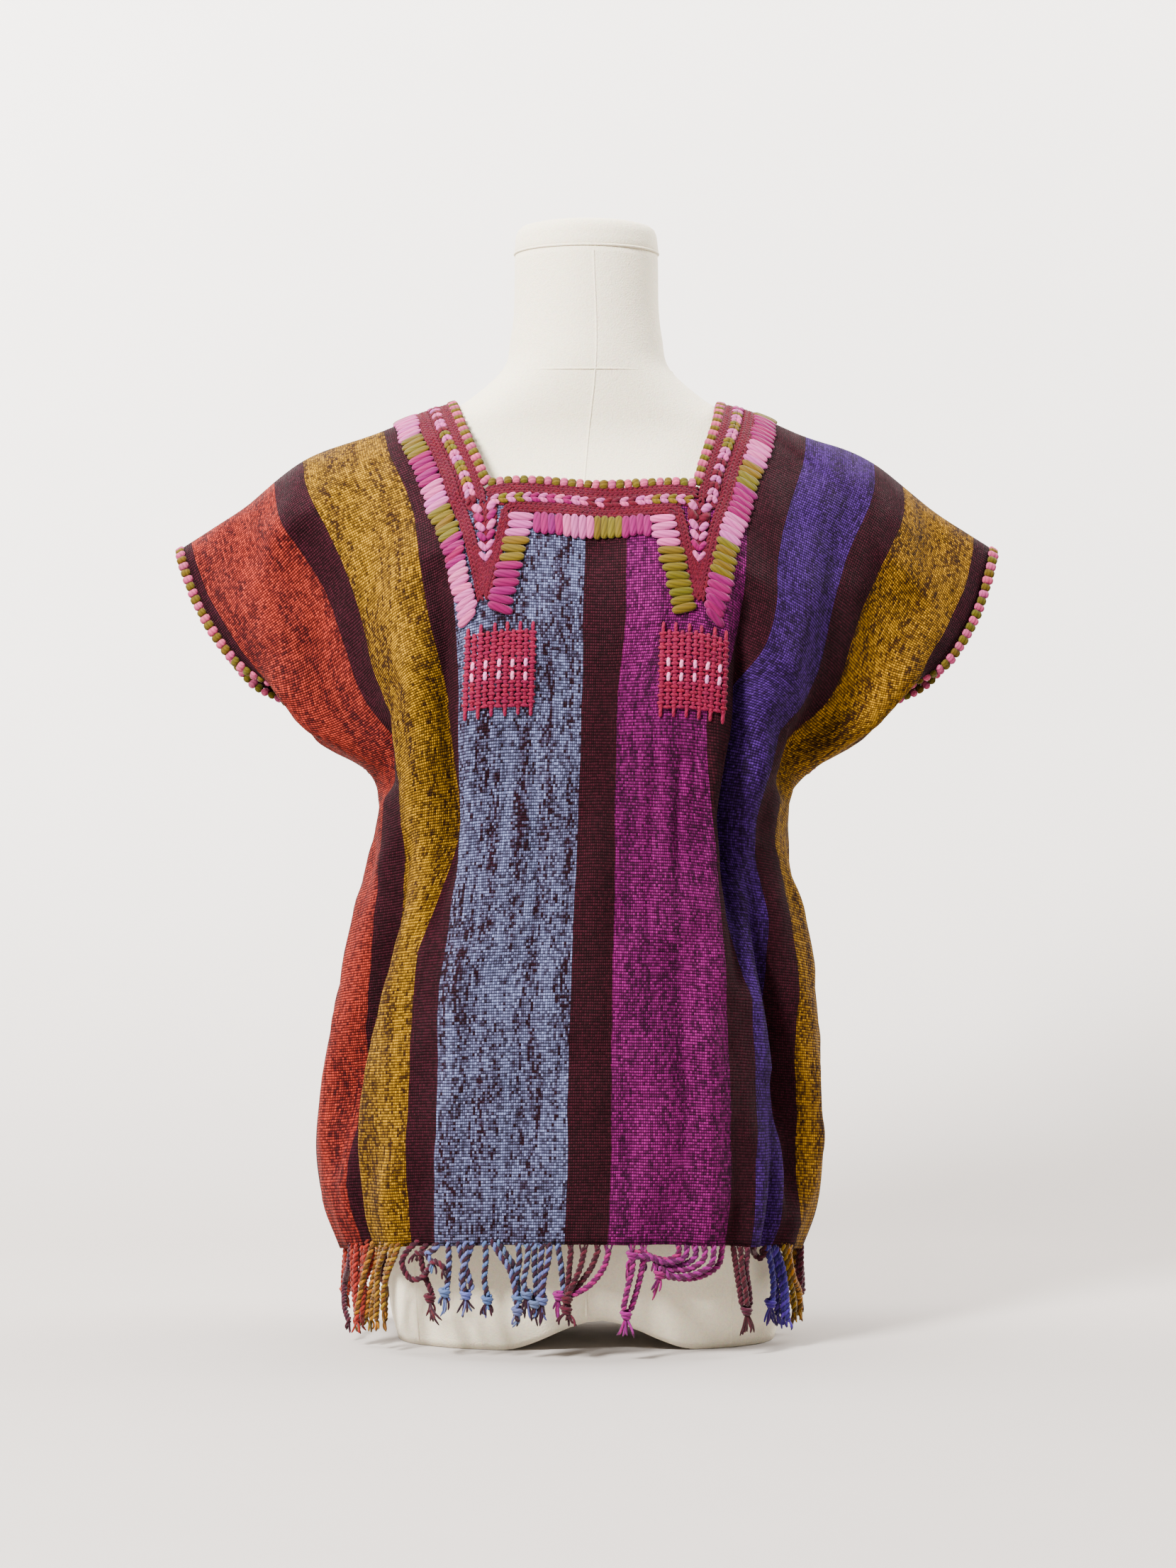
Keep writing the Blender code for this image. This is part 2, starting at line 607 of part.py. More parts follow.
def make_form():
    """The dress form's torso: rings from the thighs to the neck, with an arch cut between the thighs."""
    heights = {float(z) for z in np.arange(0, NECK_TOP, FORM_STEP)}
    rings = []
    mesh = bmesh.new()
    for z in sorted(heights | set(FORM_SHOULDER_RINGS) | {NECK_TOP}):
        half, front, back, square = form_slice([z])[0]
        ring = []
        for step in range(FORM_SEGMENTS):
            angle = 2 * pi * step / FORM_SEGMENTS
            across = np.sign(cos(angle)) * abs(cos(angle)) ** (2 / square)
            along = np.sign(sin(angle)) * abs(sin(angle)) ** (2 / square)
            reach = back if along > 0 else front
            ring.append(mesh.verts.new(Vector((across * half, along * reach, z)) * MM))
        rings.append(ring)
    for lower, upper in zip(rings, rings[1:]):
        for k in range(FORM_SEGMENTS):
            beside = (k + 1) % FORM_SEGMENTS
            mesh.faces.new((lower[k], lower[beside], upper[beside], upper[k])).smooth = True
    mesh.faces.new(reversed(rings[0]))
    mesh.faces.new(rings[-1])
    torso = place("form_torso", mesh_named("form_torso", mesh), JERSEY)

    bpy.ops.mesh.primitive_cylinder_add(
        vertices=64,
        radius=ARCH_RADIUS * MM,
        depth=2 * (FORM_SLICES[0].front + FORM_SLICES[0].back) * MM,
        location=(ARCH_X * MM, 0, (ARCH_HEIGHT - ARCH_RADIUS) * MM),
        rotation=(pi / 2, 0, 0),
    )
    arch = bpy.context.object
    arch.name = "arch_cutter"
    for owner in list(arch.users_collection):
        owner.objects.unlink(arch)
    CUTTERS.objects.link(arch)
    arch.hide_render = True
    arch.display_type = "WIRE"
    cut = torso.modifiers.new("arch", "BOOLEAN")
    cut.operation = "DIFFERENCE"
    cut.object = arch


def make_cap():
    """The cover over the neck's end: a turned disc with a rounded top edge."""
    half, front, back, _ = form_slice([NECK_TOP])[0]
    profile = [
        (0.00, CAP_TOP),
        (0.55, CAP_TOP - 0.6),
        (0.86, CAP_TOP - 3.2),
        (0.96, CAP_TOP - 7.4),
        (1.00, CAP_TOP - 13.0),
        (1.00, NECK_TOP + SEAM_GAP),
        (0.00, NECK_TOP + SEAM_GAP),
    ]
    mesh = bmesh.new()
    points = [mesh.verts.new((share * half * MM, 0, z * MM)) for share, z in profile]
    for upper, lower in zip(points, points[1:]):
        mesh.edges.new((upper, lower))
    cap = place("form_cap", mesh_named("form_cap", mesh), JERSEY)
    cap.location.y = (back - front) / 2 * MM
    turn = cap.modifiers.new("turn", "SCREW")
    turn.axis = "Z"
    turn.steps = FORM_SEGMENTS
    turn.render_steps = FORM_SEGMENTS
    turn.use_merge_vertices = True
    turn.merge_threshold = 0.00005


for stale in list(bpy.data.objects):
    bpy.data.objects.remove(stale)

PARTS = collection_named("huipil_blouse_on_form")
CUTTERS = collection_named("cutters")
JERSEY = finish_named("cream_jersey", (0.86, 0.83, 0.76))
WEB_CLOTH = finish_named("striped_web", (0.16, 0.05, 0.07))
ROSE = finish_named("rose_chain_stitch", (0.45, 0.07, 0.13))
SATIN = finish_named("pink_satin_stitch", (0.80, 0.12, 0.42))
EDGE_YARN = finish_named("pink_and_olive_edge", (0.62, 0.35, 0.30))
FRINGE_YARN = finish_named("twisted_warp", (0.24, 0.10, 0.16))
FRONT = make_panel(True)
BACK = make_panel(False)

make_form()
make_cap()
make_web("web_front", FRONT)
make_web("web_back", BACK)
make_side_trims(-1, "left", NECK_LEFT, PATCH_LEFT)
make_side_trims(1, "right", NECK_RIGHT, PATCH_RIGHT)
make_bars()
make_neck_cord()
make_sleeve_cord("cord_sleeve_left", -1)
make_sleeve_cord("cord_sleeve_right", 1)
make_fringe("fringe_front", FRONT)
make_fringe("fringe_back", BACK)
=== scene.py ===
"""Looks of a huipil blouse on a limbless dress form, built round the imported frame.

X runs across the blouse, its front faces -Y and the form stands on z = 0. Tables are in millimetres."""

from collections import namedtuple
from math import cos, pi, sin

import bpy
import numpy as np
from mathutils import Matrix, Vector


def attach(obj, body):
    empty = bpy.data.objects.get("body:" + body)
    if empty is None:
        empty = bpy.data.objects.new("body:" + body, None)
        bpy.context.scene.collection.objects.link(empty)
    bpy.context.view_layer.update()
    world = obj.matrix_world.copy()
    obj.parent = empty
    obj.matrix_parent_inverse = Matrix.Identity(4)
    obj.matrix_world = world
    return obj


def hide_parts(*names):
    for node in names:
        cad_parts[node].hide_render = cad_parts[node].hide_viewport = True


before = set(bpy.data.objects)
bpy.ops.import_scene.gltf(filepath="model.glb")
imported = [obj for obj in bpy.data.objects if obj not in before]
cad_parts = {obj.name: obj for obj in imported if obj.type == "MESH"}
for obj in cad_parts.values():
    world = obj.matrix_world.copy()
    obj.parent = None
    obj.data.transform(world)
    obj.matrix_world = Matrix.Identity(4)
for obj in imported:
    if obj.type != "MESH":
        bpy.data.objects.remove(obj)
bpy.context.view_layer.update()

# Camera and studio: the camera looks straight at the front, level with the blouse's waist. The backdrop is
# one pale paper sweep that runs under the form and up behind it. A soft key lamp stands at the upper left,
# with a weak fill at the right, one lamp above and two on the backdrop.
MM = 0.001
camera_lens = bpy.data.cameras.new("camera")
camera_lens.lens = 83.5
camera_lens.sensor_width = 36
camera = bpy.data.objects.new("camera", camera_lens)
camera.location = (1.1 * MM, -2500 * MM, 378.4 * MM)
camera.rotation_euler = (pi / 2, 0, 0)
bpy.context.scene.collection.objects.link(camera)
bpy.context.scene.camera = camera


def linear(code):
    """A colour seen on a screen, as the shader's linear red, green, blue and alpha."""
    seen = np.array([int(code[k : k + 2], 16) / 255 for k in (0, 2, 4)])
    light = np.where(seen < 0.04045, seen / 12.92, ((seen + 0.055) / 1.055) ** 2.4)
    return (*(float(value) for value in light), 1.0)


def finish_of(name, roughness, sheen=0.0):
    """A matt finish with its colour still to be linked: the material, its nodes and its shader."""
    material = bpy.data.materials.new(name)
    material.use_nodes = True
    shader = material.node_tree.nodes["Principled BSDF"]
    shader.inputs["Roughness"].default_value = roughness
    shader.inputs["Specular IOR Level"].default_value = 0.08
    shader.inputs["Sheen Weight"].default_value = sheen
    shader.inputs["Sheen Roughness"].default_value = 0.5
    return material, material.node_tree, shader


def node(tree, kind, inputs=None, **settings):
    """A node with its settings, and each input either given a value or linked from a socket."""
    made = tree.nodes.new(kind)
    for key, value in settings.items():
        setattr(made, key, value)
    for key, value in (inputs or {}).items():
        if isinstance(value, bpy.types.NodeSocket):
            tree.links.new(value, made.inputs[key])
        else:
            made.inputs[key].default_value = value
    return made


def sums(tree, operation, *values):
    """The result of a Math node on numbers or sockets."""
    return node(tree, "ShaderNodeMath", dict(enumerate(values)), operation=operation).outputs[0]


def mixed(tree, blend, share, first, second):
    """The result of a colour Mix node."""
    made = node(tree, "ShaderNodeMix", data_type="RGBA", blend_type=blend)
    for socket, value in zip((made.inputs[0], made.inputs[6], made.inputs[7]), (share, first, second)):
        if isinstance(value, bpy.types.NodeSocket):
            tree.links.new(value, socket)
        else:
            socket.default_value = value
    return made.outputs[2]


def object_of(name, data, *materials):
    made = bpy.data.objects.new(name, data)
    for material in materials:
        data.materials.append(material)
    bpy.context.scene.collection.objects.link(made)
    return made


def grid_mesh(name, grid, closed=False):
    """A mesh through a grid of places in millimetres, and closed round its rows if asked."""
    rows, columns = grid.shape[:2]
    index = np.arange(rows * columns).reshape(rows, columns)
    if closed:
        index = np.concatenate([index, index[:, :1]], axis=1)
    faces = np.stack([index[:-1, :-1], index[1:, :-1], index[1:, 1:], index[:-1, 1:]], axis=-1)
    mesh = bpy.data.meshes.new(name)
    mesh.from_pydata((grid.reshape(-1, 3) * MM).tolist(), [], faces.reshape(-1, 4).tolist())
    mesh.shade_smooth()
    return mesh


SWEEP_TURN = 500
paper_profile = [(-4000, 0), (500, 0)]
paper_profile += [
    (500 + SWEEP_TURN * sin(turn), SWEEP_TURN * (1 - cos(turn))) for turn in np.linspace(0.05, pi / 2, 24)
]
paper_profile.append((500 + SWEEP_TURN, 4000))
paper_grid = np.array([[(x, y, z - 0.4) for x in (4500, -4500)] for y, z in paper_profile])
paper, paper_tree, paper_shader = finish_of("pale_paper", 0.9)
paper_fibre = node(paper_tree, "ShaderNodeTexNoise", {"Scale": 9.0, "Detail": 4.0})
paper_coat = node(paper_tree, "ShaderNodeTexCoord")
paper_tree.links.new(paper_coat.outputs["Object"], paper_fibre.inputs["Vector"])
paper_tint = mixed(paper_tree, "MIX", paper_fibre.outputs[0], linear("f0edea"), linear("f5f2ef"))
paper_height = node(paper_tree, "ShaderNodeSeparateXYZ", {0: paper_coat.outputs["Object"]}).outputs["Z"]
# Painted shade: the whole floor of the sweep is painted darker, fading out up the curve to half a metre.
painted_floor_shade = node(paper_tree, "ShaderNodeMapRange", {
    "Value": paper_height, "From Min": 0.0, "From Max": 0.5, "To Min": 1.0, "To Max": 0.0,
}).outputs[0]
paper_tint = mixed(paper_tree, "MULTIPLY", painted_floor_shade, paper_tint, linear("b4b0ae"))
paper_tree.links.new(paper_tint, paper_shader.inputs["Base Color"])
paper_seen = node(paper_tree, "ShaderNodeMixShader", {
    0: paper_tree.nodes.new("ShaderNodeNewGeometry").outputs["Backfacing"],
    1: paper_shader.outputs[0],
    2: paper_tree.nodes.new("ShaderNodeBsdfTransparent").outputs[0],
})
paper_tree.links.new(paper_seen.outputs[0], paper_tree.nodes["Material Output"].inputs["Surface"])
sweep = object_of("paper_sweep", grid_mesh("paper_sweep", paper_grid), paper)

Lamp = namedtuple("Lamp", "name place aim size watts")
LAMPS = [
    Lamp("key_softbox", (-1200, -1700, 1900), (0, 0, 380), 600, 290),
    Lamp("fill_softbox", (2000, -2300, 700), (0, 0, 380), 1500, 6),
    Lamp("top_softbox", (100, 0, 2300), (0, 0, 380), 900, 32),
    Lamp("backdrop_left", (-1500, 480, 1900), (-300, 1000, 500), 1400, 98),
    Lamp("backdrop_right", (1500, 480, 1900), (300, 1000, 500), 1400, 98),
]
for lamp in LAMPS:
    light = bpy.data.lights.new(lamp.name, "AREA")
    light.shape = "DISK"
    light.size = lamp.size * MM
    light.energy = lamp.watts
    light.color = (1.0, 0.97, 0.94)
    holder = bpy.data.objects.new(lamp.name, light)
    holder.location = Vector(lamp.place) * MM
    holder.rotation_mode = "QUATERNION"
    holder.rotation_quaternion = (Vector(lamp.aim) - Vector(lamp.place)).to_track_quat("-Z", "Y")
    bpy.context.scene.collection.objects.link(holder)
room = bpy.data.worlds.new("studio_room")
room.use_nodes = True
room_dim = room.node_tree.nodes["Background"]
room_dim.inputs["Color"].default_value = (1.0, 0.97, 0.94, 1)
room_dim.inputs["Strength"].default_value = 0.3
room_bright = node(room.node_tree, "ShaderNodeBackground", {"Color": (1.0, 0.97, 0.94, 1), "Strength": 3.0})
room_seen = node(room.node_tree, "ShaderNodeMixShader", {
    0: room.node_tree.nodes.new("ShaderNodeLightPath").outputs["Is Camera Ray"],
    1: room_dim.outputs[0],
    2: room_bright.outputs[0],
})
room.node_tree.links.new(room_seen.outputs[0], room.node_tree.nodes["World Output"].inputs["Surface"])
bpy.context.scene.world = room

# Dress form: a padded half-body display form under a close cream knitted cover.
# It ends in two flat thighs with a shallow arch between them, and a covered disc caps its neck.
# The cover is sewn at the centre front and back, at the sides of the bust and at the foot of the neck.
Slice = namedtuple("Slice", "z half_width front back square")
FORM_SLICES = [
    Slice(0, 129, 72, 74, 2.5),
    Slice(14, 133, 77, 80, 2.5),
    Slice(60, 137, 82, 90, 2.4),
    Slice(150, 143, 92, 107, 2.3),
    Slice(220, 140, 95, 112, 2.2),
    Slice(300, 126, 89, 94, 2.1),
    Slice(385, 111, 82, 75, 2.1),
    Slice(440, 121, 95, 79, 2.2),
    Slice(495, 146, 113, 88, 2.3),
    Slice(530, 166, 104, 90, 2.2),
    Slice(560, 180, 86, 86, 2.1),
    Slice(580, 187, 70, 75, 2.0),
    Slice(596, 184, 58, 62, 1.9),
    Slice(609, 160, 51, 54, 1.9),
    Slice(620, 131, 49, 50, 1.9),
    Slice(634, 94, 51, 49, 2.0),
    Slice(648, 73, 53, 50, 2.0),
    Slice(662, 58, 54, 50, 2.0),
    Slice(685, 52, 52, 50, 2.0),
    Slice(742, 49, 50, 49, 2.0),
]
NECK_TOP = 742.0
CAP_TOP = 763.6
ARCH_X = 9.0
ARCH_HEIGHT = 20.0
ARCH_HALF = 66.0
ARCH_FADE = 46.0
FORM_SEGMENTS = 144
FORM_STEP = 5.0

# A shallow wrinkle of the cover near the thighs: its place across, its lean, depth and half width.
Wrinkle = namedtuple("Wrinkle", "x lean depth half_width")
COVER_WRINKLES = [
    Wrinkle(-104, 0.10, 1.3, 4.5),
    Wrinkle(-92, 0.16, 1.0, 4.0),
    Wrinkle(-74, -0.14, 0.9, 5.0),
    Wrinkle(-52, -0.30, 0.8, 5.0),
    Wrinkle(22, 0.22, 0.8, 5.0),
    Wrinkle(44, 0.18, 1.4, 5.0),
    Wrinkle(58, 0.14, 1.2, 4.5),
    Wrinkle(76, 0.06, 0.7, 6.0),
]


def through(places, values, at):
    """A smooth curve through the values (rows) at the places, read at one or more places."""
    places = np.asarray(places, float)
    values = np.asarray(values, float)
    at = np.atleast_1d(np.asarray(at, float))
    steps = np.diff(places)[:, None]
    slopes = np.diff(values, axis=0) / steps
    inner = (slopes[1:] * steps[:-1] + slopes[:-1] * steps[1:]) / (steps[1:] + steps[:-1])
    tangents = np.concatenate([slopes[:1], inner, slopes[-1:]])
    i = np.clip(np.searchsorted(places, at, side="right") - 1, 0, len(places) - 2)
    width = (places[i + 1] - places[i])[:, None]
    t = (at - places[i])[:, None] / width
    return (
        values[i] * (1 + 2 * t) * (1 - t) ** 2
        + tangents[i] * width * t * (1 - t) ** 2
        + values[i + 1] * t**2 * (3 - 2 * t)
        + tangents[i + 1] * width * t**2 * (t - 1)
    )


def form_slice(z):
    """Half width, front, back and squareness of the form at heights z."""
    heights = [row.z for row in FORM_SLICES]
    rows = [(row.half_width, row.front, row.back, row.square) for row in FORM_SLICES]
    return through(heights, rows, np.clip(z, heights[0], heights[-1]))


def smooth_step(value):
    value = np.clip(value, 0, 1)
    return value * value * (3 - 2 * value)


def arch_at(x):
    """How high the base stands above the floor at x."""
    return ARCH_HEIGHT * smooth_step(1 - np.abs(x - ARCH_X) / ARCH_HALF)


def form_ring(z, shrink=1.0):
    """A level ring round the form, as rows of x, y, z."""
    half, front, back, square = form_slice([z])[0]
    angle = np.linspace(0, 2 * pi, FORM_SEGMENTS, endpoint=False)
    x = np.sign(np.cos(angle)) * np.abs(np.cos(angle)) ** (2 / square) * half
    y = np.sign(np.sin(angle)) * np.abs(np.sin(angle)) ** (2 / square)
    y = y * np.where(y > 0, back, front)
    ring = np.stack([x * shrink, y * shrink, np.full_like(x, z)], axis=1)
    if z < ARCH_FADE:
        ring[:, 2] += arch_at(ring[:, 0]) * (1 - z / ARCH_FADE)
    fade = smooth_step((118 - z) / 60) * (shrink == 1)
    for wrinkle in COVER_WRINKLES:
        across = (ring[:, 0] - wrinkle.x - wrinkle.lean * (z - 40)) / wrinkle.half_width
        ring[:, 1] += np.where(ring[:, 1] < 0, 1, -0.7) * wrinkle.depth * fade * np.exp(-(across**2))
    return ring


base_rings = [form_ring(0.0, share) for share in np.linspace(0.04, 1, 14)[:-1]]
wall_rings = [form_ring(float(z)) for z in np.linspace(0, NECK_TOP, round(NECK_TOP / FORM_STEP) + 1)]
top_ring = form_ring(NECK_TOP)
top_rings = [top_ring * (share, share, 1) for share in (0.97, 0.5, 0.05)]
form_grid = np.array(base_rings + wall_rings + top_rings)
form_mesh = grid_mesh("dress_form", form_grid, closed=True)
form_grown = object_of("dress_form", form_mesh)

CAP_PROFILE = [
    (1.00, NECK_TOP + 0.3),
    (1.012, NECK_TOP + 2.0),
    (1.00, NECK_TOP + 6.0),
    (0.995, CAP_TOP - 12.0),
    (0.985, CAP_TOP - 9.0),
    (0.955, CAP_TOP - 5.6),
    (0.90, CAP_TOP - 3.4),
    (0.78, CAP_TOP - 1.9),
    (0.55, CAP_TOP - 0.8),
    (0.25, CAP_TOP - 0.2),
    (0.02, CAP_TOP),
]
cap_rings = [top_ring * (0.02, 0.02, 0) + (0, 0, NECK_TOP + 0.3), top_ring * (0.7, 0.7, 0) + (0, 0, NECK_TOP + 0.3)]
cap_rings += [top_ring * (share, share, 0) + (0, 0, z) for share, z in CAP_PROFILE]
cap_cover = object_of("neck_cap", grid_mesh("neck_cap", np.array(cap_rings), closed=True))


def fill_poles(mesh, rows, columns):
    """Closes the small holes at both ends of a closed grid."""
    faces = [tuple(range(columns)), tuple(reversed(range((rows - 1) * columns, rows * columns)))]
    bare = bpy.data.meshes.new(mesh.name)
    kept = [tuple(face.vertices) for face in mesh.polygons]
    bare.from_pydata([vertex.co[:] for vertex in mesh.vertices], [], kept + faces)
    bare.shade_smooth()
    return bare


form_grown.data = fill_poles(form_mesh, len(form_grid), FORM_SEGMENTS)
cap_cover.data = fill_poles(cap_cover.data, len(cap_rings), FORM_SEGMENTS)


def on_form(x, z, front=True, lift=0.0):
    """A place on the form's skin at x and height z."""
    half, ahead, behind, square = form_slice([z])[0]
    depth = (1 - min(1, abs(x / half)) ** square) ** (1 / square)
    return (x, -(ahead * depth + lift) if front else behind * depth + lift, z)


def seam_curve(name, points, radius, closed=False):
    curve = bpy.data.curves.new(name, "CURVE")
    curve.dimensions = "3D"
    curve.bevel_depth = radius * MM
    curve.bevel_resolution = 1
    curve.use_fill_caps = not closed
    spline = curve.splines.new("POLY")
    spline.points.add(len(points) - 1)
    for knot, point in zip(spline.points, points):
        knot.co = (*(Vector(point) * MM), 1)
    spline.use_cyclic_u = closed
    return object_of(name, curve)


SEAM_RADIUS = 0.8
SEAM_SUNK = -0.15
seam_heights = np.arange(24, 742, 6)
centre_path = through((2, 300, 578, 610, 663, 742), [[0], [-2], [-1.6], [1], [6.3], [4.7]], seam_heights)
seam_front = [on_form(float(x), float(z), True, SEAM_SUNK) for (x,), z in zip(centre_path, seam_heights)]
seam_back = [on_form(0, float(z), False, SEAM_SUNK) for z in seam_heights]
PRINCESS = [(-1, 113), (1, 97)]
neck_ring = [(x, y, 661 + 3 * y / 54) for x, y, z in (form_ring(661) * (1.002, 1.002, 1))[::2]]
cap_ring = [(x, y, 742.2) for x, y, z in (form_ring(742) * (1.006, 1.006, 1))[::2]]
seams = [
    seam_curve("seam_front", seam_front, SEAM_RADIUS),
    seam_curve("seam_back", seam_back, SEAM_RADIUS),
    seam_curve("seam_neck", neck_ring, 0.7, True),
    seam_curve("seam_cap", cap_ring, 0.9, True),
]
for side, reach in PRINCESS:
    for front in (True, False):
        rise = np.arange(3, 540, 6)
        places = through((0, 150, 385, 500, 545), [[reach], [reach + 4], [74], [82], [86]], rise)
        path = [on_form(side * float(x), float(z), front, SEAM_SUNK) for (x,), z in zip(places, rise)]
        seams.append(seam_curve("seam_princess", path, SEAM_RADIUS))

jersey, jersey_tree, jersey_shader = finish_of("cream_jersey", 0.82, 0.15)
jersey_place = node(jersey_tree, "ShaderNodeTexCoord").outputs["Object"]
knit = node(jersey_tree, "ShaderNodeTexVoronoi", {"Vector": jersey_place, "Scale": 900.0})
wear = node(jersey_tree, "ShaderNodeTexNoise", {"Vector": jersey_place, "Scale": 11.0, "Detail": 5.0})
speck = node(jersey_tree, "ShaderNodeTexNoise", {"Vector": jersey_place, "Scale": 420.0, "Detail": 2.0})
cream = mixed(jersey_tree, "MIX", wear.outputs[0], linear("f6edd6"), linear("ece2c8"))
cream = mixed(jersey_tree, "MULTIPLY", 0.22, cream, speck.outputs[1])
# Painted shade: the cream is darkened towards the edges of each knit cell, where shade falls between the loops.
painted_loop_shade = sums(jersey_tree, "MULTIPLY", knit.outputs[0], 0.22)
cream = mixed(jersey_tree, "MULTIPLY", painted_loop_shade, cream, linear("b9b1a0"))
jersey_tree.links.new(cream, jersey_shader.inputs["Base Color"])
knit_relief = sums(jersey_tree, "ADD", knit.outputs[0], sums(jersey_tree, "MULTIPLY", speck.outputs[0], 0.7))
jersey_bump = node(jersey_tree, "ShaderNodeBump", {
    "Height": knit_relief, "Strength": 0.35, "Distance": 0.0006,
})
jersey_tree.links.new(jersey_bump.outputs[0], jersey_shader.inputs["Normal"])


def plain_mesh(obj, name):
    """What an object looks like with its modifiers and bevel applied, as a mesh object in its place."""
    bpy.context.view_layer.update()
    depsgraph = bpy.context.evaluated_depsgraph_get()
    evaluated = obj.evaluated_get(depsgraph)
    mesh = bpy.data.meshes.new_from_object(evaluated, preserve_all_data_layers=True, depsgraph=depsgraph)
    bpy.data.objects.remove(obj)
    mesh.name = name
    fresh = bpy.data.objects.new(name, mesh)
    bpy.context.scene.collection.objects.link(fresh)
    return fresh


def joined(pieces, name):
    """Several mesh objects as one."""
    bpy.ops.object.select_all(action="DESELECT")
    for piece in pieces:
        piece.select_set(True)
    bpy.context.view_layer.objects.active = pieces[0]
    bpy.ops.object.join()
    made = bpy.context.view_layer.objects.active
    made.name = name
    made.data.name = name
    return made


form_seams = joined([plain_mesh(seam, seam.name) for seam in seams], "form_seams")
form_seams.data.shade_smooth()
for piece in (form_grown, cap_cover, form_seams):
    piece.data.materials.clear()
    piece.data.materials.append(jersey)
    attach(piece, "root")
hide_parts("form_torso")
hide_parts("form_cap")

# Web: one loom width of thick warp-faced cotton, folded over the shoulders with its neck opening cut out.
# Its two selvedges are sewn together from the underarms to the hem, and it hangs in soft uneven folds.
# Maroon stripes are plain, and the wide stripes mix a coloured yarn with maroon in short dashes.
WEB_HALF = 287.5
WEB_LENGTH = 618.0
CLOTH_WALL = 1.5
CLOTH_EASE = 1.3
NECK_LEFT = 81.0
NECK_RIGHT = 65.0
NECK_DEPTH_FRONT = 115.0
NECK_DEPTH_BACK = 48.0
UNDERARM = 275.0

# Places on the web above the underarm, as in the frame: columns run down the web at these distances
# across it, and each level gives (out to the side, forward or back, up) for every column.
Level = namedtuple("Level", "down lean middle neck bust shoulder sleeve selvedge")
UPPER_FRONT = [
    Level(0, 0.0, (8, 0, 641), (95, 0, 636), (146, 0, 617), (196, 0, 598), (236, 0, 566), (276, 0, 540)),
    Level(12, 0.3, (8, 12, 640), (94, 12, 635), (145, 12, 616), (196, 11, 595), (236, 10, 562), (275, 9, 536)),
    Level(48, 1.5, (10, 46, 625), (89, 44, 620), (141, 43, 600), (198, 37, 574), (235, 27, 536), (266, 22, 508)),
    Level(115, 3.7, (12, 87, 573), (72, 89, 573), (118, 84, 553), (180, 62, 520), (219, 52, 484), (241, 36, 466)),
    Level(200, 3.5, (11, 121, 494), (70, 123, 494), (106, 117, 480), (152, 86, 446), (190, 66, 420), (203, 36, 437)),
    Level(275, 1.0, (9, 125, 420), (70, 126, 420), (105, 117, 411), (130, 84, 392), (141, 46, 380), (138, 0, 374)),
]
UPPER_BACK = [
    Level(0, 0.0, (9, 38, 645), (95, 0, 636), (146, 0, 617), (196, 0, 598), (236, 0, 566), (276, 0, 540)),
    Level(12, 0.3, (9, 44, 638), (94, 12, 635), (145, 12, 616), (196, 11, 595), (236, 10, 562), (275, 9, 536)),
    Level(48, 1.5, (9, 60, 615), (93, 44, 622), (144, 42, 602), (199, 36, 576), (236, 27, 536), (267, 22, 507)),
    Level(115, 2.5, (9, 88, 574), (86, 87, 568), (130, 83, 551), (182, 66, 517), (219, 54, 478), (239, 38, 458)),
    Level(200, 2.5, (8, 102, 492), (80, 100, 490), (118, 92, 477), (156, 76, 440), (188, 58, 410), (200, 34, 428)),
    Level(275, 1.0, (8, 106, 420), (80, 103, 418), (112, 95, 409), (133, 72, 388), (141, 42, 377), (138, 0, 374)),
]
COLUMNS_LEFT = (0, NECK_LEFT, 128, 190, 240, WEB_HALF)
COLUMNS_RIGHT = (0, NECK_RIGHT, 120, 184, 236, WEB_HALF)

# Rings of the web below the underarm. panel_left and panel_right are how far round from the middle
# the outer edges of the blue and the purple stripe pass, which shows how much they are gathered.
Ring = namedtuple("Ring", "down middle_x middle side left right front back square flat")
BODY_RINGS = [
    Ring(335, 7, 360, 324, 148, 137, 126, 114, 2.35, 0.92),
    Ring(395, 5, 300, 270, 160, 151, 126, 119, 2.35, 0.93),
    Ring(455, 3, 240, 216, 173, 158, 125, 124, 2.30, 0.94),
    Ring(515, 1, 180, 163, 182, 160, 124, 128, 2.30, 0.95),
    Ring(560, 1, 135, 120, 184, 161, 123, 128, 2.30, 0.95),
    Ring(595, 0, 100, 84, 177, 156, 121, 126, 2.30, 0.95),
    Ring(WEB_LENGTH, -1, 77, 60, 167, 147, 118, 123, 2.30, 0.95),
]
Gather = namedtuple("Gather", "down panel_left panel_right")
FRONT_GATHERS = [
    Gather(200, 96, 86),
    Gather(268, 94, 68),
    Gather(317, 95, 73),
    Gather(350, 95, 78),
    Gather(417, 99, 87),
    Gather(445, 102, 89),
    Gather(500, 100, 94),
    Gather(562, 102, 96),
    Gather(WEB_LENGTH, 101, 95),
]
GATHER_STARTS = 200.0
GATHER_FULL = 262.0

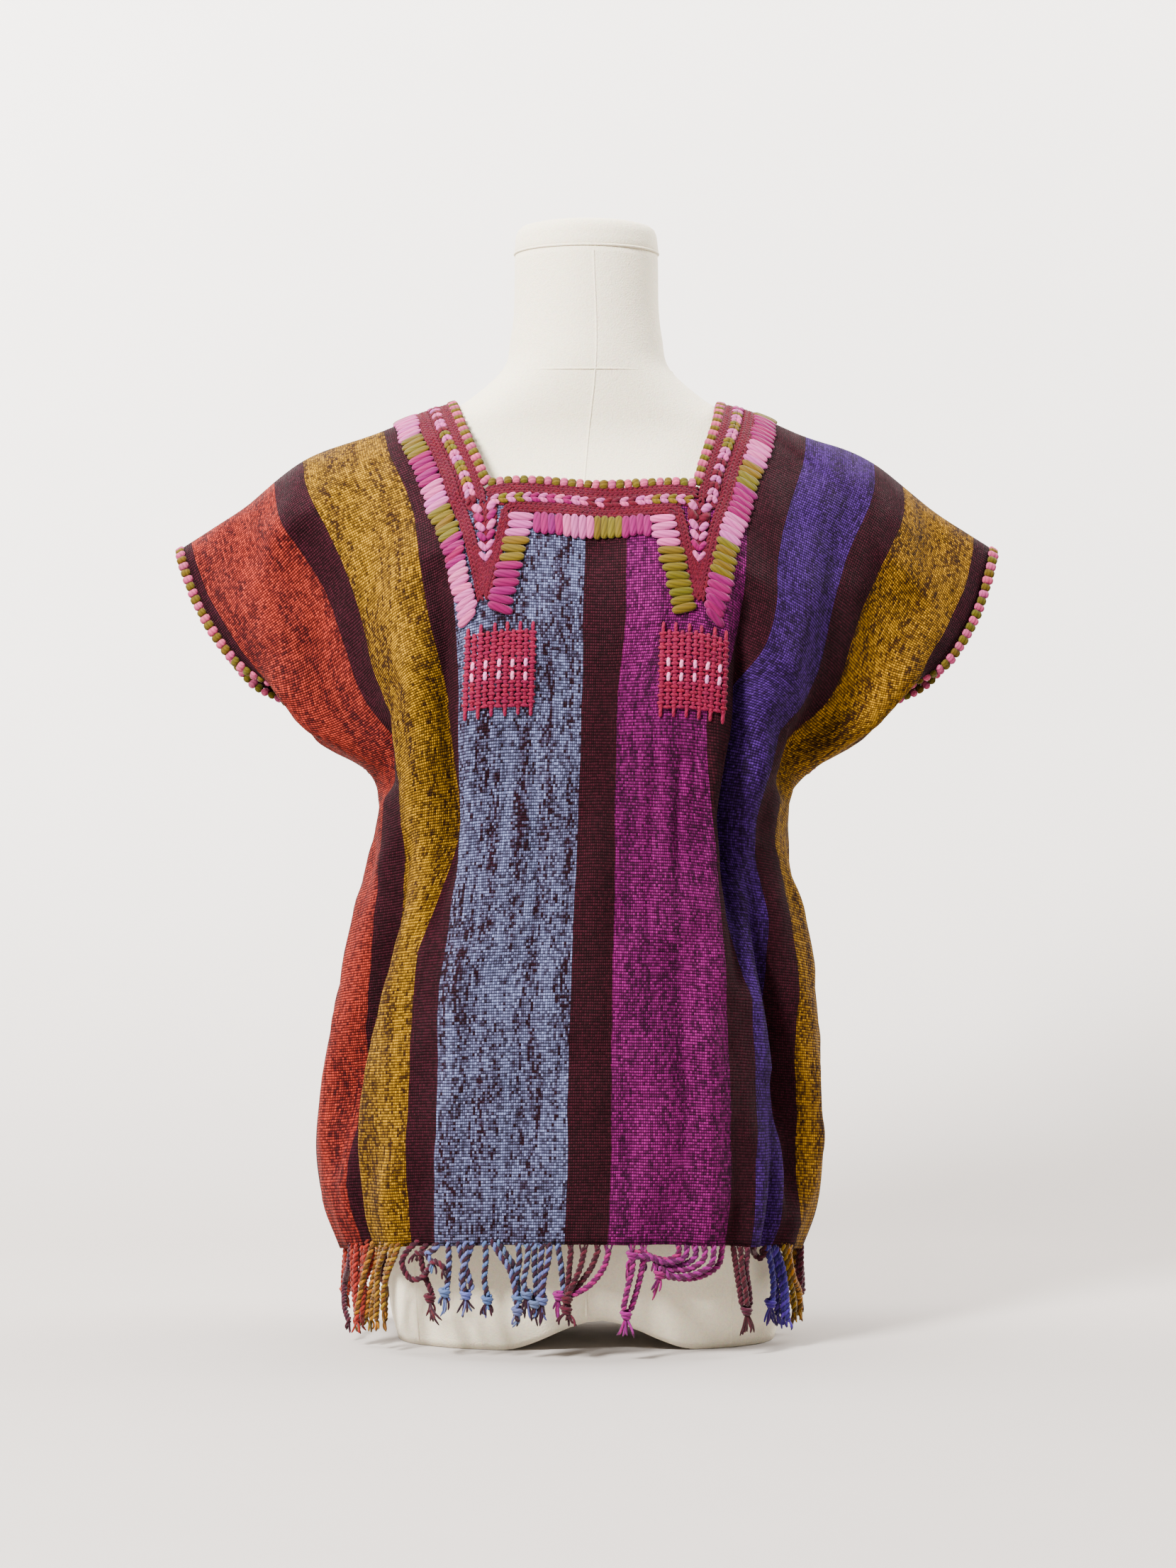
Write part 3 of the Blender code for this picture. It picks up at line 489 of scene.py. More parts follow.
# A fold: the line of the web that it follows from its top to its end, where it starts and ends down
# the web, how deep it goes in (below 0 it stands out), and its half width.
Fold = namedtuple("Fold", "across_top across_end down_top down_end depth half_width")
FRONT_FOLDS = [
    Fold(-196, -214, 70, 300, 24, 24),
    Fold(-117, -122, 150, 420, 24, 15),
    Fold(-166, -228, 330, 575, 24, 19),
    Fold(-196, -204, 470, 690, 14, 12),
    Fold(-92, -98, 230, 690, -5, 14),
    Fold(214, 206, 90, 300, 22, 24),
    Fold(112, 124, 165, 450, 26, 16),
    Fold(146, 206, 340, 600, 26, 20),
    Fold(160, 172, 500, 690, 12, 12),
    Fold(86, 93, 230, 690, -5, 14),
]
BACK_FOLDS = [
    Fold(-200, -214, 80, 300, 22, 26),
    Fold(206, 212, 80, 300, 22, 26),
    Fold(-126, -168, 180, 600, 20, 20),
    Fold(122, 160, 190, 620, 20, 21),
    Fold(-20, -34, 250, 690, 9, 30),
    Fold(-214, -206, 420, 690, 16, 14),
    Fold(206, 214, 440, 690, 14, 13),
]
FOLD_SHARPNESS = 0.7
SEAM_CALM = 14.0
ROW_POINTS = 300

# Small creases that only the looks need: pleats that fan out above and below the darned patches,
# slack at the hem, storage creases, and soft drag lines from the shoulders.
FRONT_CREASES = [
    Fold(-93, -99, 268, 352, 2.2, 3.4),
    Fold(-84, -88, 268, 372, 1.8, 3.0),
    Fold(-75, -77, 268, 338, 1.5, 2.8),
    Fold(-65, -64, 268, 366, 2.4, 3.2),
    Fold(-56, -52, 268, 344, 1.6, 3.0),
    Fold(-47, -38, 266, 420, 2.6, 4.6),
    Fold(-88, -86, 196, 222, 1.2, 3.0),
    Fold(-66, -66, 198, 222, 1.1, 3.0),
    Fold(40, 40, 268, 440, 2.8, 4.2),
    Fold(49, 50, 268, 345, 1.9, 3.0),
    Fold(57, 60, 268, 398, 2.6, 3.2),
    Fold(67, 71, 268, 350, 2.0, 3.0),
    Fold(76, 84, 268, 388, 2.6, 3.6),
    Fold(85, 95, 268, 340, 2.0, 3.4),
    Fold(46, 46, 196, 222, 1.2, 3.0),
    Fold(66, 64, 198, 222, 1.4, 3.0),
    Fold(80, 78, 192, 222, 1.6, 3.2),
    Fold(-34, -48, 350, 560, 1.6, 10),
    Fold(-74, -70, 400, 620, -1.5, 9),
    Fold(-18, -14, 300, 520, 1.4, 6),
    Fold(15, 18, 280, 560, 1.5, 6),
    Fold(66, 72, 420, 650, 1.8, 10),
    Fold(-138, -150, 90, 260, -3.0, 12),
    Fold(-158, -176, 40, 220, 3.0, 12),
    Fold(-234, -246, 20, 190, 3.4, 14),
    Fold(-262, -262, 40, 250, -2.2, 10),
    Fold(146, 152, 60, 250, -3.5, 13),
    Fold(168, 182, 30, 210, 3.2, 12),
    Fold(240, 250, 20, 200, 3.6, 14),
    Fold(-246, -240, 330, 560, -3.0, 12),
    Fold(-262, -258, 380, 640, 3.0, 9),
    Fold(-146, -150, 470, 680, -3.4, 11),
    Fold(-172, -178, 500, 690, 3.4, 8),
    Fold(-228, -222, 540, 690, 4.0, 7),
    Fold(-118, -120, 560, 690, 2.0, 7),
    Fold(236, 232, 320, 600, -3.0, 13),
    Fold(256, 262, 360, 640, 3.0, 9),
    Fold(140, 146, 540, 690, -3.0, 9),
    Fold(196, 190, 560, 690, 4.0, 8),
    Fold(118, 118, 500, 690, 2.6, 8),
]
BACK_CREASES = [
    Fold(-60, -72, 60, 420, 2.4, 14),
    Fold(44, 58, 70, 460, 2.6, 15),
    Fold(-92, -110, 120, 360, -3.0, 13),
    Fold(90, 104, 130, 380, -3.0, 13),
    Fold(-160, -186, 40, 230, 3.2, 13),
    Fold(164, 188, 36, 220, 3.2, 13),
    Fold(-240, -252, 20, 200, 3.2, 14),
    Fold(242, 250, 20, 200, 3.0, 14),
    Fold(-74, -82, 380, 690, 3.0, 11),
    Fold(76, 88, 400, 690, 2.6, 12),
    Fold(10, 16, 300, 690, -2.2, 12),
    Fold(-190, -204, 330, 640, 3.2, 12),
    Fold(190, 204, 340, 640, 3.4, 12),
    Fold(-250, -246, 350, 660, 2.8, 10),
    Fold(252, 246, 360, 660, 2.8, 10),
    Fold(-120, -122, 540, 690, 2.6, 8),
    Fold(124, 122, 550, 690, 2.6, 8),
]

# A crease that runs across the web: where it is down the web, how that drifts for each millimetre
# across, its ends across the web, its depth and its half width.
CrossCrease = namedtuple("CrossCrease", "down drift left right depth half_width")
CROSS_CREASES = [
    CrossCrease(338, 0.06, -26, 26, 1.8, 4.0),
    CrossCrease(352, -0.10, -20, 34, 1.2, 3.6),
    CrossCrease(60, 0.42, 96, 196, 1.4, 5.0),
    CrossCrease(118, 0.30, 108, 214, -1.2, 7.0),
    CrossCrease(402, 0.20, -110, -30, 0.9, 7.0),
    CrossCrease(470, -0.16, 12, 96, 0.9, 8.0),
    CrossCrease(250, -0.55, -262, -170, 2.0, 8.0),
    CrossCrease(262, 0.50, 168, 262, 2.0, 8.0),
    CrossCrease(-180, 0.18, -120, 60, 1.6, 9.0),
    CrossCrease(-262, -0.14, -70, 130, 1.8, 10.0),
    CrossCrease(-420, 0.10, -140, 40, 1.4, 10.0),
]
RIPPLES = [(0.9, 61, 143, 0.4), (0.7, 97, 83, 2.1), (0.5, 37, 191, 4.0), (0.45, 53, 59, 5.3)]


def beyond_form(points, ease):
    """How far outside the form each point is: above 0 is outside, and 0 is ease clear of its skin."""
    half, front, back, square = form_slice(points[:, 2]).T
    reach = np.where(points[:, 1] < 0, front, back) + ease
    return (np.abs(points[:, 0]) / (half + ease)) ** square + (np.abs(points[:, 1]) / reach) ** square - 1


def clear_of_form(points, ease):
    """Points nearer to the form than ease are moved out along its steepest way out."""
    points = points.copy()
    probe = 0.2
    for _ in range(12):
        value = beyond_form(points, ease)
        ways = [(beyond_form(points + probe * way, ease) - value) / probe for way in np.eye(3)]
        slope = np.stack(ways, axis=1)
        inside = value < 0
        step = -value / np.maximum((slope**2).sum(1), 1e-9)
        points[inside] += (slope * step[:, None])[inside]
    return points


def lengths_along(path):
    return np.concatenate([[0], np.cumsum(np.linalg.norm(np.diff(path, axis=0), axis=1))])


def read_at(path, along, wanted):
    return np.stack([np.interp(wanted, along, path[:, k]) for k in range(path.shape[1])], axis=1)


def ring_columns(ring, front, side):
    """Where the web's lengthwise columns pass a ring, from the middle stripe to the side seam."""
    share = np.linspace(0, 1, 60) * pi / 2
    halves = []
    for half_side, half_width in ((-1, ring.left), (1, ring.right)):
        x = half_width * np.sin(share) ** (2 / ring.square)
        y = (ring.front if front else ring.back) * np.cos(share) ** (2 / ring.square)
        z = ring.side + (ring.middle - ring.side) * np.cos(share)
        halves.append(np.stack([half_side * x, (-y if front else y), z], axis=1))
    whole = np.concatenate([halves[0][:0:-1], halves[1]])
    along = lengths_along(whole)
    start = np.interp(ring.middle_x, whole[:, 0], along)
    end = along[-1] if side > 0 else 0.0
    columns = COLUMNS_LEFT if side < 0 else COLUMNS_RIGHT
    neck_share = ring.flat * columns[1] / abs(end - start)
    shares = np.interp(columns, (0, columns[1], WEB_HALF), (0, neck_share, 1))
    return read_at(whole, along, start + (end - start) * shares)


def column_places(front, side):
    """Distances down the web, and for each the places of its lengthwise columns on one side."""
    forward = -1 if front else 1
    downs, rows = [], []
    for level in UPPER_FRONT if front else UPPER_BACK:
        x, y, z = level.middle
        row = [(x, forward * y, z)]
        row += [(side * x + level.lean, forward * y, z) for x, y, z in level[3:]]
        downs.append(level.down)
        rows.append(row)
    for ring in BODY_RINGS:
        downs.append(ring.down)
        rows.append(ring_columns(ring, front, side))
    return np.array(downs, float), np.array(rows, float).reshape(len(downs), -1)


def fold_depth(folds, across, down):
    """How far the folds carry the web inwards at places across it, at one distance down it."""
    total = np.zeros_like(across)
    for fold in folds:
        share = (down - fold.down_top) / (fold.down_end - fold.down_top)
        if 0 < share < 1:
            centre = fold.across_top + (fold.across_end - fold.across_top) * share
            reach = np.exp(-(((across - centre) / fold.half_width) ** 2))
            total += fold.depth * sin(pi * share) ** FOLD_SHARPNESS * reach
    return total


def crease_depth(across, down):
    """The small creases and the cloth's own unevenness at one signed distance down the web."""
    total = fold_depth(FRONT_CREASES if down >= 0 else BACK_CREASES, across, abs(down))
    for crease in CROSS_CREASES:
        middle = (crease.left + crease.right) / 2
        line = crease.down + crease.drift * (across - middle)
        ends = smooth_step((across - crease.left) / 24) * smooth_step((crease.right - across) / 24)
        total += crease.depth * ends * np.exp(-(((down - line) / crease.half_width) ** 2))
    for height, wave_across, wave_down, start in RIPPLES:
        sway = 1.7 * np.sin(down * 2 * pi / wave_down)
        total += height * np.sin(across * 2 * pi / wave_across + sway + start)
    return total


def web_row(down):
    """One row of the web's inner face at a signed distance down it: the whole path and its web places.
    Each path point also gets the place across the flat cloth that the gathers bring there."""
    front = down >= 0
    depth = abs(down)
    folds = FRONT_FOLDS if front else BACK_FOLDS
    fine = np.linspace(0, WEB_HALF, ROW_POINTS)
    halves = []
    for side, columns in ((-1, COLUMNS_LEFT), (1, COLUMNS_RIGHT)):
        downs, rows = TABLES[front, side]
        row = through(downs, rows, depth).reshape(len(columns), 3)
        path = through(columns, row, fine)
        run = np.gradient(path, axis=0)
        outward = np.stack([run[:, 1], -run[:, 0]], axis=1) * (side if front else -side)
        outward /= np.maximum(np.linalg.norm(outward, axis=1), 1e-9)[:, None]
        calm = 1 - np.exp(-(((WEB_HALF - fine) / SEAM_CALM) ** 2))
        inward = fold_depth(folds, side * fine, depth) * calm
        path[:, :2] -= outward * inward[:, None]
        along = lengths_along(path)
        neck_along = np.interp(columns[1], fine, along)
        place = np.interp(along, (0, neck_along, along[-1]), (0, columns[1], WEB_HALF))
        cloth = place
        if front:
            gather_downs = [gather.down for gather in FRONT_GATHERS]
            panels = [[gather.panel_left, gather.panel_right] for gather in FRONT_GATHERS]
            kept = through(gather_downs, panels, max(depth, GATHER_STARTS))[0][0 if side < 0 else 1]
            edge = 103.5 if side < 0 else 99.5
            gathered = np.interp(along, (0, kept, along[-1]), (0, edge, WEB_HALF))
            share = smooth_step((depth - GATHER_STARTS) / (GATHER_FULL - GATHER_STARTS))
            cloth = place + (gathered - place) * share
        path[:, :2] -= outward * (crease_depth(side * place, down) * calm)[:, None]
        halves.append((path, place, cloth))
    left, right = halves
    path = np.concatenate([left[0][:0:-1], right[0]])
    place = np.concatenate([-left[1][:0:-1], right[1]])
    cloth = np.concatenate([-left[2][:0:-1], right[2]])
    return path, place, cloth


def spread(*stops):
    """Places through (place, step to the next) stops."""
    places = [float(stops[0][0])]
    for (start, step), (end, _) in zip(stops, stops[1:]):
        count = max(1, round((end - start) / step))
        places += [float(place) for place in np.linspace(start, end, count + 1)[1:]]
    return places


TABLES = {(front, side): column_places(front, side) for front in (True, False) for side in (-1, 1)}
WEB_DOWNS = spread(
    (-WEB_LENGTH, 5.6), (-UNDERARM, 5.6), (-NECK_DEPTH_BACK, 5.4), (0, 4.8), (NECK_DEPTH_FRONT, 4.8),
    (UNDERARM, 4.6), (360, 5.2), (WEB_LENGTH, 0),
)
WEB_ACROSS = spread(
    (-WEB_HALF, 4.8), (-104, 2.6), (-NECK_LEFT, 2.4), (-36, 4.6), (30, 2.4), (NECK_RIGHT, 2.4),
    (104, 4.8), (WEB_HALF, 0),
)
web_points, web_cloth = [], []
for down in WEB_DOWNS:
    path, place, cloth = web_row(down)
    web_points.append(read_at(path, place, WEB_ACROSS))
    web_cloth.append(np.interp(WEB_ACROSS, place, cloth))
web_points = np.array(web_points)
web_cloth = np.array(web_cloth)

ridge = WEB_DOWNS.index(0.0)
back_ridge_path, back_ridge_place, _ = web_row(-1e-6)
slip = web_points[ridge] - read_at(back_ridge_path, back_ridge_place, WEB_ACROSS)
for i in range(ridge):
    web_points[i] += slip * smooth_step(1 + WEB_DOWNS[i] / 40)
web_points = clear_of_form(web_points.reshape(-1, 3), CLOTH_EASE).reshape(web_points.shape)
for i, down in enumerate(WEB_DOWNS):
    if abs(down) >= UNDERARM:
        web_points[i, (0, -1), 1] = 0

hole_rows = slice(WEB_DOWNS.index(-NECK_DEPTH_BACK), WEB_DOWNS.index(NECK_DEPTH_FRONT))
hole_columns = slice(WEB_ACROSS.index(-NECK_LEFT), WEB_ACROSS.index(NECK_RIGHT))
face_ways = np.cross(web_points[1:, 1:] - web_points[:-1, :-1], web_points[:-1, 1:] - web_points[1:, :-1])
face_ways /= np.maximum(np.linalg.norm(face_ways, axis=2), 1e-9)[:, :, None]
face_ways[hole_rows, hole_columns] = 0
web_ways = np.zeros_like(web_points)
for i in (0, 1):
    for j in (0, 1):
        web_ways[i : i + face_ways.shape[0], j : j + face_ways.shape[1]] += face_ways
web_ways /= np.maximum(np.linalg.norm(web_ways, axis=2), 1e-9)[:, :, None]


def make_web_mesh():
    """The web as one sheet with its neck opening, sewn up at the sides, with its cloth places as UVs."""
    rows, columns = web_points.shape[:2]
    index = np.arange(rows * columns).reshape(rows, columns)
    for i, down in enumerate(WEB_DOWNS):
        if down >= UNDERARM:
            mate = int(np.argmin(np.abs(np.array(WEB_DOWNS) + down)))
            if abs(WEB_DOWNS[mate] + down) < 1e-6:
                index[i, 0], index[i, -1] = index[mate, 0], index[mate, -1]
    faces = np.stack([index[:-1, :-1], index[1:, :-1], index[1:, 1:], index[:-1, 1:]], axis=-1)
    corners = np.stack(np.meshgrid(np.arange(rows), np.arange(columns), indexing="ij"), axis=-1)
    corners = np.stack([corners[:-1, :-1], corners[1:, :-1], corners[1:, 1:], corners[:-1, 1:]], axis=2)
    solid = np.ones(faces.shape[:2], bool)
    solid[hole_rows, hole_columns] = False
    faces, corners = faces[solid], corners[solid]
    used = np.unique(faces)
    renumber = np.full(rows * columns, -1)
    renumber[used] = np.arange(len(used))
    mesh = bpy.data.meshes.new("striped_web")
    mesh.from_pydata((web_points.reshape(-1, 3)[used] * MM).tolist(), [], renumber[faces].tolist())
    places = mesh.uv_layers.new(name="cloth")
    i, j = corners.reshape(-1, 2).T
    uv = np.stack([(web_cloth[i, j] + WEB_HALF) * MM, (np.array(WEB_DOWNS)[i] + WEB_LENGTH) * MM], axis=1)
    places.data.foreach_set("uv", uv.ravel())
    mesh.shade_smooth()
    return mesh


# The stripes from the left selvedge to the right: where each ends, its yarn, the yarn mixed into it,
# the share of the first yarn, and how strongly the two differ from stitch to stitch.
Stripe = namedtuple("Stripe", "ends yarn mixed share contrast")
MAROON = "300a16"
DARK_MAROON = "1a060c"
STRIPES = [
    Stripe(-282.5, MAROON, DARK_MAROON, 0.6, 0.35),
    Stripe(-212.5, "86281c", "380c12", 0.60, 0.85),
    Stripe(-186.5, MAROON, DARK_MAROON, 0.6, 0.35),
    Stripe(-129.5, "886204", "301805", 0.58, 0.95),
    Stripe(-103.5, MAROON, DARK_MAROON, 0.6, 0.35),
    Stripe(-13.5, "62688e", "220a16", 0.54, 1.0),
    Stripe(13.5, MAROON, DARK_MAROON, 0.6, 0.35),
    Stripe(99.5, "6c0c56", "2c0624", 0.58, 0.8),
    Stripe(126.5, MAROON, DARK_MAROON, 0.6, 0.35),
    Stripe(180.5, "3a1a60", "1b0824", 0.60, 0.7),
    Stripe(207.5, MAROON, DARK_MAROON, 0.6, 0.35),
    Stripe(272.5, "886006", "301805", 0.58, 0.95),
    Stripe(WEB_HALF, MAROON, DARK_MAROON, 0.6, 0.35),
]
WARP_PITCH = 1.55
WEFT_PITCH = 1.95


def weave_group():
    """Plain weave seen close: which yarn shows at a place on the cloth, and how proud it stands.
    Lengthwise yarns were dyed in dashes, so one yarn keeps a colour for a while and then changes."""
    group = bpy.data.node_groups.new("plain_weave", "ShaderNodeTree")
    for name in ("Across", "Down", "Warp Pitch", "Weft Pitch", "Dash Length"):
        group.interface.new_socket(name, in_out="INPUT", socket_type="NodeSocketFloat")
    for name in ("Dash", "Cell", "Height", "Slub"):
        group.interface.new_socket(name, in_out="OUTPUT", socket_type="NodeSocketFloat")
    given = group.nodes.new("NodeGroupInput").outputs
    shown = group.nodes.new("NodeGroupOutput")
    slub = node(group, "ShaderNodeTexNoise", {"Scale": 1.0, "Detail": 3.0}, noise_dimensions="2D")
    slub_place = node(group, "ShaderNodeCombineXYZ", {
        "X": sums(group, "MULTIPLY", given["Across"], 40.0),
        "Y": sums(group, "MULTIPLY", given["Down"], 25.0),
    })
    group.links.new(slub_place.outputs[0], slub.inputs["Vector"])
    wander = sums(group, "MULTIPLY", sums(group, "SUBTRACT", slub.outputs[0], 0.5), 0.35)
    columns = sums(group, "ADD", sums(group, "DIVIDE", given["Across"], given["Warp Pitch"]), wander)
    column = sums(group, "FLOOR", columns)
    row_wander = sums(group, "MULTIPLY", wander, 0.8)
    rows = sums(group, "ADD", sums(group, "DIVIDE", given["Down"], given["Weft Pitch"]), row_wander)
    row = sums(group, "FLOOR", rows)
    cell_place = node(group, "ShaderNodeCombineXYZ", {"X": column, "Y": row})
    cell = node(group, "ShaderNodeTexWhiteNoise", {"Vector": cell_place.outputs[0]}, noise_dimensions="2D")
    start = node(group, "ShaderNodeTexWhiteNoise", {"W": column}, noise_dimensions="1D")
    dash_row = sums(group, "ADD", sums(group, "DIVIDE", given["Down"], given["Dash Length"]),
                    sums(group, "MULTIPLY", start.outputs["Value"], 7.0))
    dash_place = node(group, "ShaderNodeCombineXYZ", {"X": column, "Y": sums(group, "FLOOR", dash_row)})
    dash = node(group, "ShaderNodeTexWhiteNoise", {"Vector": dash_place.outputs[0]}, noise_dimensions="2D")
    within_column = sums(group, "FRACT", columns)
    within_row = sums(group, "FRACT", rows)
    crown = sums(group, "SINE", sums(group, "MULTIPLY", within_column, pi))
    rise = sums(group, "SINE", sums(group, "MULTIPLY", within_row, pi))
    height = sums(group, "MULTIPLY", sums(group, "POWER", crown, 0.35), sums(group, "POWER", rise, 0.8))
    group.links.new(dash.outputs["Value"], shown.inputs["Dash"])
    group.links.new(cell.outputs["Value"], shown.inputs["Cell"])
    group.links.new(height, shown.inputs["Height"])
    group.links.new(slub.outputs[0], shown.inputs["Slub"])
    return group


def stripe_ramp(tree, place, values):
    """What the stripes give at a place across the cloth, from 0 at one selvedge to 1 at the other."""
    made = node(tree, "ShaderNodeValToRGB", {"Fac": place})
    ramp = made.color_ramp
    ramp.interpolation = "CONSTANT"
    starts = [0.0] + [(stripe.ends + WEB_HALF) / (2 * WEB_HALF) for stripe in STRIPES[:-1]]
    ramp.elements[0].color = values[0]
    ramp.elements.remove(ramp.elements[1])
    for start, value in zip(starts[1:], values[1:]):
        ramp.elements.new(start).color = value
    return made.outputs[0]


weave = weave_group()
web_finish, web_tree, web_shader = finish_of("striped_web", 0.9)
cloth_uv = node(web_tree, "ShaderNodeUVMap", uv_map="cloth").outputs[0]
cloth_place = node(web_tree, "ShaderNodeSeparateXYZ", {0: cloth_uv})
threads = node(web_tree, "ShaderNodeGroup", node_tree=weave)
web_tree.links.new(cloth_place.outputs["X"], threads.inputs["Across"])
web_tree.links.new(cloth_place.outputs["Y"], threads.inputs["Down"])
threads.inputs["Warp Pitch"].default_value = WARP_PITCH * MM
threads.inputs["Weft Pitch"].default_value = WEFT_PITCH * MM
threads.inputs["Dash Length"].default_value = 6 * MM
loom_share = sums(web_tree, "DIVIDE", cloth_place.outputs["X"], 2 * WEB_HALF * MM)
stray = sums(web_tree, "MULTIPLY", sums(web_tree, "SUBTRACT", threads.outputs["Slub"], 0.5), 0.0035)
loom_share = sums(web_tree, "ADD", loom_share, stray)
yarn = stripe_ramp(web_tree, loom_share, [linear(stripe.yarn) for stripe in STRIPES])
other = stripe_ramp(web_tree, loom_share, [linear(stripe.mixed) for stripe in STRIPES])
measure = stripe_ramp(web_tree, loom_share, [(stripe.share, stripe.contrast, 0, 1) for stripe in STRIPES])
measured = node(web_tree, "ShaderNodeSeparateColor", {0: measure})
streaks = node(web_tree, "ShaderNodeTexNoise", {"Scale": 1.0, "Detail": 3.0}, noise_dimensions="2D")
streak_place = node(web_tree, "ShaderNodeCombineXYZ", {
    "X": sums(web_tree, "MULTIPLY", cloth_place.outputs["X"], 110.0),
    "Y": sums(web_tree, "MULTIPLY", cloth_place.outputs["Y"], 9.0),
})
web_tree.links.new(streak_place.outputs[0], streaks.inputs["Vector"])
drawn = sums(web_tree, "ADD", sums(web_tree, "MULTIPLY", threads.outputs["Dash"], 0.30),
             sums(web_tree, "MULTIPLY", threads.outputs["Cell"], 0.36))
drawn = sums(web_tree, "ADD", drawn, sums(web_tree, "MULTIPLY", streaks.outputs[0], 0.85))
reach = sums(web_tree, "SUBTRACT", sums(web_tree, "ADD", drawn, measured.outputs[0]), 1.33)
choice = node(web_tree, "ShaderNodeMapRange", {
    "Value": reach, "From Min": -0.26, "From Max": 0.26, "To Min": 0.0, "To Max": 1.0,
}).outputs[0]
half_way = sums(web_tree, "MULTIPLY", sums(web_tree, "SUBTRACT", 1.0, measured.outputs[1]), 0.6)
choice = sums(web_tree, "ADD", sums(web_tree, "MULTIPLY", choice, measured.outputs[1]), half_way)
web_colour = mixed(web_tree, "MIX", choice, other, yarn)
lit = node(web_tree, "ShaderNodeMapRange", {
    "Value": threads.outputs["Cell"], "From Min": 0.0, "From Max": 1.0, "To Min": 0.62, "To Max": 1.25,
}).outputs[0]
lit_grey = node(web_tree, "ShaderNodeCombineColor", {0: lit, 1: lit, 2: lit}).outputs[0]
web_colour = mixed(web_tree, "MULTIPLY", 1.0, web_colour, lit_grey)
# Painted shade and highlight: each yarn's colour is darkened in the hollows between yarns and lightened on their
# crowns, from the weave's height.
painted_weave_shading = node(web_tree, "ShaderNodeMapRange", {
    "Value": threads.outputs["Height"], "From Min": 0.1, "From Max": 0.95, "To Min": 0.12, "To Max": 1.25,
}).outputs[0]
painted_weave_shading_grey = node(web_tree, "ShaderNodeCombineColor", {0: painted_weave_shading, 1: painted_weave_shading, 2: painted_weave_shading}).outputs[0]
web_colour = mixed(web_tree, "MULTIPLY", 1.0, web_colour, painted_weave_shading_grey)
web_tree.links.new(web_colour, web_shader.inputs["Base Color"])
rough = node(web_tree, "ShaderNodeMapRange", {
    "Value": threads.outputs["Slub"], "From Min": 0.3, "From Max": 0.7, "To Min": 0.78, "To Max": 0.92,
}).outputs[0]
web_tree.links.new(rough, web_shader.inputs["Roughness"])
web_bump = node(web_tree, "ShaderNodeBump", {
    "Height": threads.outputs["Height"], "Strength": 0.8, "Distance": 0.0009,
})
web_tree.links.new(web_bump.outputs[0], web_shader.inputs["Normal"])

web = object_of("striped_web", make_web_mesh(), web_finish)
wall = web.modifiers.new("wall", "SOLIDIFY")
wall.thickness = CLOTH_WALL * MM
wall.offset = 1.0
web = plain_mesh(web, "striped_web")
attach(web, "root")
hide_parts("web_front", "web_back")

# Chain stitch bands: close rows of rose chain stitch round the neck opening, two rows on each side of
# a row of bright links. At each lower corner of the front the rows run on into a pointed corner.
# Every link is two short legs of soft cotton yarn that open towards the next link.
BAND_WIDTH = 23.0
TRIM_GAP = 0.6
POINT_TIP = 201.0
POINT_HALF_TIP = 3.0
# ROSE is darker than the same rose yarn in the darned patches (DARN_ROSE): painted shade for the shade among the close
# band stitches.
ROSE = "480518"
PINK = "984274"
MAGENTA = "660040"
OLIVE = "504204"
Stitch = namedtuple("Stitch", "place run out size tint")
chance = np.random.default_rng(34)


def on_web(down, across, lift=0.0):
    """A place on the web's outer face moved out by lift, with the ways out, down and across there."""
    i = int(np.clip(np.searchsorted(WEB_DOWNS, down, side="right") - 1, 0, len(WEB_DOWNS) - 2))
    j = int(np.clip(np.searchsorted(WEB_ACROSS, across, side="right") - 1, 0, len(WEB_ACROSS) - 2))
    s = (down - WEB_DOWNS[i]) / (WEB_DOWNS[i + 1] - WEB_DOWNS[i])
    t = (across - WEB_ACROSS[j]) / (WEB_ACROSS[j + 1] - WEB_ACROSS[j])
    ways = web_ways[i : i + 2, j : j + 2]
    corners = web_points[i : i + 2, j : j + 2] + ways * (CLOTH_WALL + lift)
    upper, lower = corners[:, 0] * (1 - t) + corners[:, 1] * t
    left, right = corners[0] * (1 - s) + corners[1] * s
    out = (ways[0, 0] * (1 - t) + ways[0, 1] * t) * (1 - s) + (ways[1, 0] * (1 - t) + ways[1, 1] * t) * s
    lengths = [np.linalg.norm(way) for way in (out, lower - upper, right - left)]
    return upper * (1 - s) + lower * s, out / lengths[0], (lower - upper) / lengths[1], (right - left) / lengths[2]


def tinted(code, change=0.10):
    """A yarn's colour, a little lighter or darker from stitch to stitch."""
    return tuple(value * (1 + change * chance.normal()) for value in linear(code)[:3]) + (1.0,)


def point_half(down):
    """Half the width of a pointed corner, which narrows from the band's width to its tip."""
    share = np.clip((down - NECK_DEPTH_FRONT - TRIM_GAP) / (POINT_TIP - NECK_DEPTH_FRONT - TRIM_GAP), 0, 1)
    return BAND_WIDTH + (POINT_HALF_TIP - BAND_WIDTH) * share


def traced(path, step, lift):
    """Evenly spaced places along a path of (down, across) turns on the web, with the way on and out."""
    fine = []
    for (down, across), (next_down, next_across) in zip(path, path[1:]):
        count = max(2, round(max(abs(next_down - down), abs(next_across - across)) / 1.2))
        fine += [
            (down + (next_down - down) * k / count, across + (next_across - across) * k / count)
            for k in range(count)
        ]
    fine.append(path[-1])
    seen = [on_web(down, across, lift) for down, across in fine]
    places = np.array([spot[0] for spot in seen])
    outs = np.array([spot[1] for spot in seen])
    along = lengths_along(places)
    count = max(1, round(along[-1] / step))
    wanted = (np.arange(count) + 0.5) * along[-1] / count
    runs = np.gradient(places, axis=0)
    runs = read_at(runs, along, wanted)
    outs = read_at(outs, along, wanted)
    return list(zip(read_at(places, along, wanted), runs / np.linalg.norm(runs, axis=1)[:, None],
                    outs / np.linalg.norm(outs, axis=1)[:, None]))


